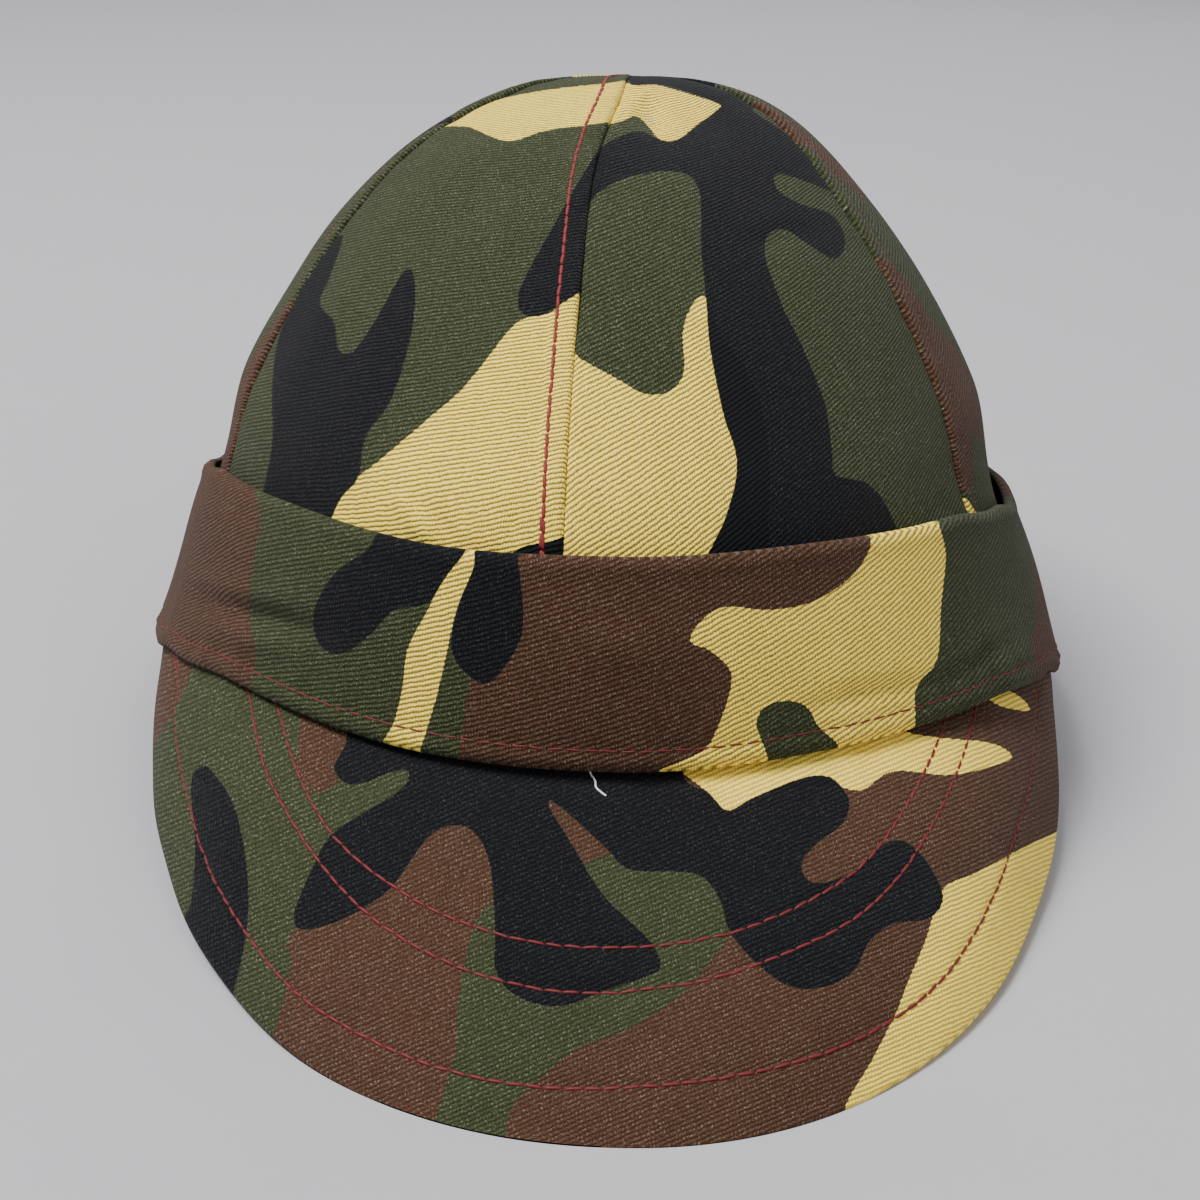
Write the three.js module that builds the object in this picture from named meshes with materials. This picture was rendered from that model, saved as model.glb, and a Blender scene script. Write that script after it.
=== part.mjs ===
// A welding cap: six cloth panels make the crown, a doubled cloth band is turned up round the
// outside of its lower edge, and a soft cloth bill hangs from under the band at the front.
// The cap rests on the front edge of its bill and on the back of its band.
//
// Millimetres, +Z up. The front faces -Y and +X is the cap's left as it is worn. Angles round the
// cap are degrees from the middle of the front, growing toward +X. Levels up the crown are rows
// of CROWN_PROFILE: 0 is the lower edge of the band, 1 its upper edge and the last row the apex.

import * as THREE from "three";

// Cloth and the clear space between neighbouring pieces.
const CROWN_CLOTH = 1.2;
const BAND_CLOTH = 1.6;
const BILL_CLOTH = 2.6;
const SEAM_GAP = 0.3;

// Lower edge of the band.
const RIM_HALF_WIDTH = 86;
const RIM_HALF_LENGTH = 101.5;
const RIM_SQUARENESS = 2.09;
const RIM_FRONT_DIP = 5.3;

// Upper edge of the band, and how it sits on the crown.
const BAND_TOP_HALF_WIDTH = 75;
const BAND_TOP_HALF_LENGTH = 98.8;
const BAND_HEIGHT = 28;
const BAND_HANG = 4;
const BAND_LOW_CLEARANCE = 0.35;
const BAND_TOP_CLEARANCE = 0.85;

// Crown.
const CROWN_HEIGHT = 97.4;
const APEX_BACK = 2.8;
const CROWN_SIDE_OFFSET = -0.8;
const APEX_SIDE_PULL = 2.8;
const APEX_HOLE_RADIUS = 1.3;
const SEAM_TURN = -5.3;
const WELT_WIDTH = 3.2;
const WELT_RISE = 0.4;
const WELT_EDGE_WIDTH = 0.7;

// Bill: its outer edge lies in the resting plane, and the sides of it curl up from the plane.
const BILL_HALF_WIDTH = 83;
const BILL_REACH = 149.2;
const BILL_ENDS_BACK = 5.1;
const BILL_SQUARENESS = 2.18;
const BILL_ROOT_ANGLE = 93;
const BILL_SIDE_CURL = 7.9;
const BILL_CAMBER = 0.05;
const BILL_SWELL_LENGTH = 30;
const REST_TILT = 9.52;
const REST_PRESS = 0.9;

// How finely the surfaces are divided.
const PANEL_COLUMNS = 9;
const DOME_ROWS = 14;
const BAND_COLUMNS = 90;
const BAND_ROWS = 6;
const BILL_COLUMNS = 56;
const BILL_ROWS = 8;

// Shape of the crown above the band: each row gives shares of the crown's height and of the
// band's half width and half length on the sides, to the front and to the back.
const CROWN_PROFILE = [
  { rise: 0.46, side: 0.803, front: 0.862, back: 0.862 },
  { rise: 0.68, side: 0.655, front: 0.655, back: 0.725 },
  { rise: 0.87, side: 0.46, front: 0.405, back: 0.515 },
  { rise: 0.975, side: 0.245, front: 0.2, back: 0.28 },
  { rise: 1, side: 0, front: 0, back: 0 },
];

// Rise and fall of the band's two edges round the cap, as shares of the band's height: both are
// pulled down at the sides, over the ears.
const EDGE_WAVE = [
  { angle: -180, low: 0, top: 0 },
  { angle: -130, low: 0, top: 0 },
  { angle: -90, low: -0.25, top: -0.16 },
  { angle: -75, low: -0.225, top: -0.07 },
  { angle: -60, low: -0.08, top: 0.02 },
  { angle: -45, low: 0, top: 0.014 },
  { angle: -20, low: -0.032, top: -0.025 },
  { angle: 0, low: -0.021, top: 0 },
  { angle: 22, low: 0.011, top: 0.025 },
  { angle: 45, low: 0.018, top: 0.007 },
  { angle: 60, low: -0.07, top: -0.07 },
  { angle: 75, low: -0.25, top: -0.18 },
  { angle: 90, low: -0.26, top: -0.12 },
  { angle: 130, low: 0, top: -0.014 },
  { angle: 180, low: 0, top: 0 },
];

// Soft dents and puffs of the crown, placed by angle and level. A rise is a share of the thickness
// of the cloth, and a dent's is negative.
const CROWN_DENTS = [
  { angle: 20, level: 4.6, across: 13, along: 0.4, rise: -1.5 },
  { angle: -38, level: 1.25, across: 5, along: 0.3, rise: -0.75 },
  { angle: -20, level: 1.35, across: 9, along: 0.35, rise: 0.58 },
  { angle: 46, level: 2, across: 12, along: 0.6, rise: -0.92 },
  { angle: 150, level: 2.4, across: 16, along: 0.7, rise: -1.17 },
];

// Puffs of the band, where the doubled cloth stands off the crown.
const BAND_PUFFS = [
  { angle: -52, level: 0.74, across: 17, along: 0.17, rise: 0.81 },
  { angle: -8, level: 0.4, across: 22, along: 0.24, rise: 0.56 },
  { angle: 47, level: 0.12, across: 8, along: 0.16, rise: 1 },
  { angle: 74, level: 0.6, across: 10, along: 0.3, rise: 0.69 },
  { angle: 160, level: 0.5, across: 18, along: 0.3, rise: 0.5 },
];

// Shallow hollows and swells of the bill, placed by angle and by share of the way to its edge.
const BILL_SWELLS = [
  { angle: -42, level: 0.45, across: 16, along: 0.3, rise: 0.5 },
  { angle: 30, level: 0.6, across: 14, along: 0.3, rise: 0.58 },
  { angle: 58, level: 0.7, across: 9, along: 0.25, rise: -0.46 },
  { angle: 0, level: 0.35, across: 18, along: 0.25, rise: -0.35 },
];

const PANELS = [
  { name: "panel_front_left", from: -60, to: 0, weltFrom: false, weltTo: true },
  { name: "panel_front_right", from: 0, to: 60, weltFrom: false, weltTo: false },
  { name: "panel_side_right", from: 60, to: 120, weltFrom: true, weltTo: false },
  { name: "panel_back_right", from: 120, to: 180, weltFrom: true, weltTo: false },
  { name: "panel_back_left", from: -180, to: -120, weltFrom: true, weltTo: true },
  { name: "panel_side_left", from: -120, to: -60, weltFrom: false, weltTo: true },
];

const RADIAN = Math.PI / 180;
const LAST_LEVEL = CROWN_PROFILE.length + 1;

const lerp = THREE.MathUtils.lerp;
const smoothstep = THREE.MathUtils.smoothstep;

/** A number raised to a power with its sign kept. */
function signedPower(value, power) {
  return Math.sign(value) * Math.abs(value) ** power;
}

/** A smooth curve through four evenly spaced values, between the middle two. */
function throughFour(a, b, c, d, t) {
  const m0 = (c - a) / 2;
  const m1 = (d - b) / 2;
  const t2 = t * t;
  const t3 = t2 * t;
  return (2 * t3 - 3 * t2 + 1) * b + (t3 - 2 * t2 + t) * m0 + (3 * t2 - 2 * t3) * c + (t3 - t2) * m1;
}

/** An angle brought into the half-turn either side of the front. */
function wrapAngle(angle) {
  return THREE.MathUtils.euclideanModulo(angle + 180, 360) - 180;
}

/** The wave of one edge of the band at an angle: an eased step from row to row. */
function edgeWave(angle, column) {
  const at = wrapAngle(angle);
  const i = Math.max(1, EDGE_WAVE.findIndex((row) => row.angle >= at));
  const a = EDGE_WAVE[i - 1];
  const b = EDGE_WAVE[i];
  return BAND_HEIGHT * lerp(a[column], b[column], smoothstep(at, a.angle, b.angle));
}

/** The sum of the soft dents and puffs of a table at an angle and level, in cloth thicknesses. */
function relief(table, angle, level) {
  let sum = 0;
  for (const row of table) {
    const across = wrapAngle(angle - row.angle) / row.across;
    const along = (level - row.level) / row.along;
    sum += row.rise * Math.exp(-(across * across + along * along) / 2);
  }
  return sum;
}

/** One row of the crown's whole profile, in millimetres, counted from the band's lower edge. */
function profileRow(index) {
  const inset = BAND_CLOTH + BAND_LOW_CLEARANCE;
  const topInset = BAND_CLOTH + BAND_TOP_CLEARANCE;
  if (index > LAST_LEVEL) {
    const row = profileRow(2 * LAST_LEVEL - index);
    return { z: row.z, side: -row.side, front: -row.front, back: -row.back };
  }
  if (index < 0) {
    const low = profileRow(0);
    const top = profileRow(1);
    return {
      z: 2 * low.z - top.z,
      side: 2 * low.side - top.side,
      front: 2 * low.front - top.front,
      back: 2 * low.back - top.back,
    };
  }
  if (index === 0) {
    const length = RIM_HALF_LENGTH - inset;
    return { z: 0, side: RIM_HALF_WIDTH - inset, front: length, back: length };
  }
  if (index === 1) {
    const length = BAND_TOP_HALF_LENGTH - topInset;
    return { z: BAND_HEIGHT, side: BAND_TOP_HALF_WIDTH - topInset, front: length, back: length };
  }
  const shares = CROWN_PROFILE[index - 2];
  return {
    z: CROWN_HEIGHT * shares.rise,
    side: (RIM_HALF_WIDTH - inset) * shares.side,
    front: (RIM_HALF_LENGTH - inset) * shares.front,
    back: (RIM_HALF_LENGTH - inset) * shares.back,
  };
}

/** The crown's profile at a level between its rows. */
function profileAt(level) {
  const index = Math.min(Math.floor(level), LAST_LEVEL - 1);
  const rows = [-1, 0, 1, 2].map((step) => profileRow(Math.max(-1, index + step)));
  const value = (column) =>
    throughFour(rows[0][column], rows[1][column], rows[2][column], rows[3][column], level - index);
  return { z: value("z"), side: value("side"), front: value("front"), back: value("back") };
}

/** The middle of the crown at a level: it leans back, and its apex is pulled sideways. */
function crownMiddle(level) {
  const offset = CROWN_SIDE_OFFSET * smoothstep(level, 0, 1.5);
  const pull = APEX_SIDE_PULL * smoothstep(level, LAST_LEVEL - 2.5, LAST_LEVEL - 1);
  return { x: offset + pull, y: APEX_BACK * (level / LAST_LEVEL) ** 2 };
}

/** A point of the crown's smooth outer surface, before dents. */
function crownSkin(angle, level) {
  const row = profileAt(level);
  const middle = crownMiddle(level);
  const turn = angle * RADIAN;
  const share = level / LAST_LEVEL;
  const length = Math.cos(turn) > 0 ? row.front : row.back;
  const power = 2 / RIM_SQUARENESS;
  const dip = -RIM_FRONT_DIP * Math.max(0, Math.cos(turn)) ** 4 * (1 - share) ** 4;
  const low = edgeWave(angle, "low") * (1 - smoothstep(level, 0, 1));
  const top = edgeWave(angle, "top") * smoothstep(level, 0, 1) * (1 - smoothstep(level, 1, 2));
  return new THREE.Vector3(
    middle.x + row.side * signedPower(Math.sin(turn), power),
    middle.y - length * signedPower(Math.cos(turn), power),
    row.z + dip + low + top,
  );
}

/** The outward direction of a surface given as a function of two numbers. */
function outwardNormal(surface, u, v, du, dv) {
  const along = surface(u, v + dv).sub(surface(u, v - dv));
  const across = surface(u + du, v).sub(surface(u - du, v));
  return across.cross(along).normalize();
}

/** A point off the crown's outer surface by a distance, positive outward. */
function offCrown(angle, level, distance) {
  const normal = outwardNormal(crownSkin, angle, level, 0.2, 0.005);
  return crownSkin(angle, level).addScaledVector(normal, distance);
}

/** Tilts a point of the cap back to its resting pose and presses the cloth flat on the ground. */
function settle(point) {
  const turn = REST_TILT * RADIAN;
  const y = point.y - RIM_HALF_LENGTH;
  return new THREE.Vector3(
    point.x,
    y * Math.cos(turn) + point.z * Math.sin(turn),
    Math.max(0, point.z * Math.cos(turn) - y * Math.sin(turn) - REST_PRESS),
  );
}

/**
 * A closed solid through sections that each hold an outer line, an optional point on the edge
 * and an inner line. A ring joins its last section to its first; others are closed at the ends.
 */
function loft(sections, ring) {
  const loops = sections.map(({ outer, edge, inner }) => [...outer, ...edge, ...inner.toReversed()]);
  const size = loops[0].length;
  const lines = sections[0].outer.length;
  const index = [];
  const quad = (a, b, c, d) => index.push(a, b, c, a, c, d);
  const steps = ring ? loops.length : loops.length - 1;
  for (let i = 0; i < steps; i += 1) {
    const here = i * size;
    const next = ((i + 1) % loops.length) * size;
    for (let j = 0; j < size; j += 1) {
      const k = (j + 1) % size;
      quad(here + j, here + k, next + k, next + j);
    }
  }
  if (!ring) {
    const end = (loops.length - 1) * size;
    for (let j = 0; j + 1 < lines; j += 1) {
      quad(j, size - 1 - j, size - 2 - j, j + 1);
      quad(end + j, end + j + 1, end + size - 2 - j, end + size - 1 - j);
    }
    if (size > 2 * lines) {
      index.push(lines - 1, lines + 1, lines);
      index.push(end + lines - 1, end + lines, end + lines + 1);
    }
  }
  const points = loops.flat().map(settle);
  let volume = 0;
  for (let i = 0; i < index.length; i += 3) {
    const [a, b, c] = [points[index[i]], points[index[i + 1]], points[index[i + 2]]];
    volume += a.dot(b.clone().cross(c));
  }
  if (volume < 0) index.reverse();
  const geometry = new THREE.BufferGeometry().setFromPoints(points);
  geometry.setIndex(index);
  geometry.computeVertexNormals();
  return geometry;
}

/** The level of a row of a panel, from its lower edge up to the hole at the apex. */
function panelLevels() {
  const lower = BAND_HANG / BAND_HEIGHT;
  const levels = [lower, lerp(lower, 1, 0.5), 0.93, 1];
  const last = LAST_LEVEL - APEX_HOLE_RADIUS / profileAt(LAST_LEVEL - 1).side / 1.3;
  for (let i = 1; i <= DOME_ROWS; i += 1) levels.push(lerp(1, last, i / DOME_ROWS));
  return levels;
}

/** How far a welt stands up at a level: it is pressed flat under the band. */
function weltRise(level) {
  return WELT_RISE * smoothstep(level, 0.93, 1);
}

/** One cloth panel of the crown, with a welt of folded cloth along the seams that carry one. */
function crownPanel(panel) {
  const sections = panelLevels().map((level) => {
    const { x, y } = crownSkin((panel.from + panel.to) / 2 + SEAM_TURN, level);
    const middle = crownMiddle(level);
    const degree = Math.hypot(x - middle.x, y - middle.y) * RADIAN;
    const whole = panel.to - panel.from;
    const gap = SEAM_GAP / 2 / degree;
    const welt = Math.min(WELT_WIDTH / degree, whole * 0.3);
    const slope = Math.min(WELT_EDGE_WIDTH / degree, whole * 0.1);
    const stops = [];
    const start = gap + (panel.weltFrom ? welt + slope : 0);
    const finish = whole - gap - (panel.weltTo ? welt + slope : 0);
    if (panel.weltFrom) {
      stops.push({ angle: gap, rise: 1 }, { angle: gap + welt, rise: 1 });
    }
    for (let i = 0; i <= PANEL_COLUMNS; i += 1) {
      stops.push({ angle: lerp(start, finish, i / PANEL_COLUMNS), rise: 0 });
    }
    if (panel.weltTo) {
      stops.push({ angle: whole - gap - welt, rise: 1 }, { angle: whole - gap, rise: 1 });
    }
    const at = (stop) => panel.from + SEAM_TURN + stop.angle;
    const under = smoothstep(level, 0.93, 1.1);
    const dent = (stop) => relief(CROWN_DENTS, at(stop), level) * CROWN_CLOTH * under;
    const outer = stops.map((stop) =>
      offCrown(at(stop), level, dent(stop) + stop.rise * weltRise(level)),
    );
    const inner = stops.map((stop) => offCrown(at(stop), level, dent(stop) - CROWN_CLOTH));
    return { outer, edge: [], inner };
  });
  return loft(sections, false);
}

/** The turned-up band: one ring of doubled cloth with its two edges rounded. */
function turnedBand() {
  const sections = [];
  for (let i = 0; i < BAND_COLUMNS; i += 1) {
    const angle = (i / BAND_COLUMNS) * 360 - 180;
    const outer = [];
    const inner = [];
    for (let j = 0; j < BAND_ROWS; j += 1) {
      const share = j / (BAND_ROWS - 1);
      const level = lerp(0.02, 0.98, share);
      const clear = lerp(BAND_LOW_CLEARANCE, BAND_TOP_CLEARANCE, share);
      const puff = relief(BAND_PUFFS, angle, level) * BAND_CLOTH;
      outer.push(offCrown(angle, level, clear + puff + BAND_CLOTH));
      inner.push(offCrown(angle, level, clear + puff));
    }
    const top = BAND_TOP_CLEARANCE + relief(BAND_PUFFS, angle, 1) * BAND_CLOTH;
    const low = BAND_LOW_CLEARANCE + relief(BAND_PUFFS, angle, 0) * BAND_CLOTH;
    const upper = offCrown(angle, 1, top + BAND_CLOTH / 2);
    const lower = offCrown(angle, 0, low + BAND_CLOTH / 2);
    sections.push({ outer: [lower, ...outer], edge: [upper], inner });
  }
  return loft(sections, true);
}

/** A point of the outer edge of the bill, at a share from -1 to 1 along it. */
function billEdge(share) {
  const turn = share * Math.PI * 0.5;
  const power = 2 / BILL_SQUARENESS;
  const length = BILL_REACH + BILL_ENDS_BACK;
  const y = BILL_ENDS_BACK - length * signedPower(Math.cos(turn), power);
  const x = BILL_HALF_WIDTH * signedPower(Math.sin(turn), power);
  const fall = (RIM_HALF_LENGTH - y) * Math.tan(REST_TILT * RADIAN);
  return new THREE.Vector3(x, y, BILL_SIDE_CURL * Math.sin(turn) ** 4 - fall);
}

/** A point of the bill's upper surface: along it from -1 to 1, and from its bend to its edge. */
function billSkin(share, reach) {
  const angle = share * BILL_ROOT_ANGLE;
  const bend = crownSkin(angle, -0.02);
  const edge = billEdge(share);
  const length = edge.distanceTo(bend);
  const fade = Math.min(1, length / BILL_SWELL_LENGTH);
  const swell = relief(BILL_SWELLS, angle, reach) * BILL_CLOTH * fade;
  const lift = BILL_CAMBER * length * 4 * reach * (1 - reach) + swell;
  const point = bend.lerp(edge, reach);
  const turn = angle * RADIAN;
  point.z += lift * 0.8;
  point.x += lift * 0.2 * Math.sin(turn);
  point.y -= lift * 0.6 * Math.cos(turn);
  return point;
}

/** The soft bill: one crescent of stitched cloth whose root is tucked up inside the band. */
function softBill() {
  const root = (BAND_HANG - SEAM_GAP) / BAND_HEIGHT;
  const sections = [];
  for (let i = 0; i <= BILL_COLUMNS; i += 1) {
    const share = lerp(-1, 1, i / BILL_COLUMNS);
    const angle = share * BILL_ROOT_ANGLE;
    const outer = [offCrown(angle, root, 0)];
    const inner = [offCrown(angle, root, -BILL_CLOTH)];
    const length = billEdge(share).distanceTo(crownSkin(angle, -0.02));
    const roll = Math.min(0.45, BILL_CLOTH / 2 / length);
    for (let j = 0; j <= BILL_ROWS; j += 1) {
      const reach = (j / BILL_ROWS) * (1 - roll);
      const skin = billSkin(share, reach);
      const normal = outwardNormal(billSkin, share, Math.max(reach, 0.02), 0.004, -0.02);
      const mix = smoothstep(j, 0, 1.5);
      const side = offCrown(angle, 0, 1).sub(crownSkin(angle, 0));
      const down = normal.multiplyScalar(-mix).addScaledVector(side, mix - 1).normalize();
      outer.push(skin.clone());
      inner.push(skin.addScaledVector(down, BILL_CLOTH));
    }
    const edge = billEdge(share).lerp(inner.at(-1), 0.4);
    sections.push({ outer, edge: [edge], inner });
  }
  return loft(sections, false);
}

const cap = new THREE.Group();
cap.name = "welding_cap";

/** Adds one named piece of the cap in its own plain colour. */
function addPiece(name, geometry, color) {
  const material = new THREE.MeshStandardMaterial({ color, roughness: 0.9 });
  const mesh = new THREE.Mesh(geometry, material);
  mesh.name = name;
  cap.add(mesh);
}

const COLORS = [0x55603c, 0x5d6842, 0x63452f, 0x4d5736, 0x5b4330, 0x6a5a40];
PANELS.forEach((panel, i) => addPiece(panel.name, crownPanel(panel), COLORS[i]));
addPiece("band", turnedBand(), 0x75553a);
addPiece("bill", softBill(), 0x3c4433);

// The frame's origin is under the middle of the cap's box, at the ground.
const box = new THREE.Box3().setFromObject(cap);
const middle = box.getCenter(new THREE.Vector3());
cap.position.set(-middle.x, -middle.y, -box.min.z);

export default cap;
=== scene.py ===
"""A camouflage welding cap: printed twill panels, a turned-up band and a stitched soft bill.

Shapes are worked out in millimetres in the cap's own upright frame and then tilted back onto the
surface that the cap rests on, as its solids are. Angles round the cap are degrees from the middle
of the front, growing toward +X. Levels up the crown are rows of its profile: 0 is the lower edge
of the band, 1 its upper edge and the last one the apex.
"""

import logging
import math
from dataclasses import dataclass, field
from enum import Enum
from typing import Sequence

import bpy
import numpy as np
from mathutils import Matrix


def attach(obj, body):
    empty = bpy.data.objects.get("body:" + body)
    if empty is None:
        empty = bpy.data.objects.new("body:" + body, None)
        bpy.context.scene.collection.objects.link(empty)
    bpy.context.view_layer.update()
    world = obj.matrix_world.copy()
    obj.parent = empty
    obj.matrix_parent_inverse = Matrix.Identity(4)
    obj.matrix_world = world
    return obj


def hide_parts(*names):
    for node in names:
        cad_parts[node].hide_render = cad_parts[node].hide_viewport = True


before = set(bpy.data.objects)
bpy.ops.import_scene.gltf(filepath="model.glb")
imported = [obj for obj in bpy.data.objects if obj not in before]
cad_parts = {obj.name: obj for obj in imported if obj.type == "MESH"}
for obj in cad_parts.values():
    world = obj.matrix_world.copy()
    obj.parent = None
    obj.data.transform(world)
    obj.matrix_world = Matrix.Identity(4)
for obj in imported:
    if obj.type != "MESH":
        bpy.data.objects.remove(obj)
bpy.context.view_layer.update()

LOG = logging.getLogger("welding_cap")
METRES = 0.001
# How far outside a printed patch still matters, in pixels of the photograph and in millimetres of cloth.
FAR = 60.0
STAMP_MARGIN = 10.0
Pair = tuple[float, float]
Colour = tuple[float, float, float, float]


def signed_power(value: np.ndarray, power: float) -> np.ndarray:
    """Numbers raised to a power with their signs kept."""
    return np.sign(value) * np.abs(value) ** power


def smoothstep(value: np.ndarray, low: float, high: float) -> np.ndarray:
    """An eased step from 0 at low to 1 at high."""
    t = np.clip((value - low) / (high - low), 0.0, 1.0)
    return t * t * (3 - 2 * t)


def bell(distance: np.ndarray, width: float) -> np.ndarray:
    """A soft bump: 1 at no distance, and next to nothing at twice its width."""
    return np.exp(-((distance / width) ** 2))


def edge_drop(distance: np.ndarray, width: float) -> np.ndarray:
    """A rounded edge: 1 at the edge, easing to 0 at its width from it."""
    return np.clip(1 - distance / width, 0, 1) ** 2


def wrap_angle(angle: np.ndarray) -> np.ndarray:
    """Angles brought into the half-turn either side of the front."""
    return np.mod(angle + 180.0, 360.0) - 180.0


def unit(vectors: np.ndarray) -> np.ndarray:
    """Vectors scaled to length 1."""
    length = np.linalg.norm(vectors, axis=-1, keepdims=True)
    return vectors / np.maximum(length, 1e-9)


def through_four(a: np.ndarray, b: np.ndarray, c: np.ndarray, d: np.ndarray, t: np.ndarray) -> np.ndarray:
    """A smooth curve through four evenly spaced values, between the middle two.

    Args:
        a, b, c, d: the four values.
        t: how far the point lies from b to c.

    Returns:
        The value at t.
    """
    m0, m1 = (c - a) / 2, (d - b) / 2
    t2, t3 = t * t, t * t * t
    return (2 * t3 - 3 * t2 + 1) * b + (t3 - 2 * t2 + t) * m0 + (3 * t2 - 2 * t3) * c + (t3 - t2) * m1


def smooth_line(points: Sequence[Sequence[float]], closed: bool, steps: int) -> np.ndarray:
    """A smooth line through points.

    Args:
        points: the points, in order.
        closed: whether the line comes back to its start.
        steps: how many short pieces each stretch is cut into.

    Returns:
        The line as an array of points.
    """
    p = np.asarray(points, float)
    if closed:
        ring = np.vstack([p[-1:], p, p[:2]])
    else:
        ring = np.vstack([2 * p[:1] - p[1:2], p, 2 * p[-1:] - p[-2:-1]])
    t = (np.arange(steps) / steps)[None, :, None]
    line = through_four(*(ring[k : len(ring) - 3 + k, None] for k in range(4)), t).reshape(-1, p.shape[1])
    return line if closed else np.vstack([line, p[-1:]])


@dataclass(frozen=True)
class SoftWaves:
    """Small seeded waves that keep a sewn cloth surface from being perfectly even."""

    seed: int
    length: float
    count: int = 9
    shortest: float = 0.65
    longest: float = 1.6

    def at(self, places: np.ndarray) -> np.ndarray:
        """The height of the waves.

        Args:
            places: points over the cloth, in millimetres, last axis 2.

        Returns:
            Heights between about -1 and 1.
        """
        random = np.random.default_rng(self.seed)
        turns = random.uniform(0, 2 * math.pi, self.count)
        lengths = self.length * random.uniform(self.shortest, self.longest, self.count)
        starts = random.uniform(0, 2 * math.pi, self.count)
        total = np.zeros(places.shape[:-1])
        for turn, length, start in zip(turns, lengths, starts):
            across = places[..., 0] * math.cos(turn) + places[..., 1] * math.sin(turn)
            total += np.sin(2 * math.pi * across / length + start)
        return total / math.sqrt(self.count * 2.0)


@dataclass(frozen=True)
class Swell:
    """A soft dent or puff: a dent has a negative rise."""

    angle: float
    level: float
    across: float
    along: float
    rise: float


def relief(swells: Sequence[Swell], angle: np.ndarray, level: np.ndarray) -> np.ndarray:
    """The sum of soft dents and puffs at angles and levels."""
    total = np.zeros(np.broadcast(angle, level).shape)
    for swell in swells:
        across = wrap_angle(angle - swell.angle) / swell.across
        along = (level - swell.level) / swell.along
        total += swell.rise * np.exp(-(across * across + along * along) / 2)
    return total


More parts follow.
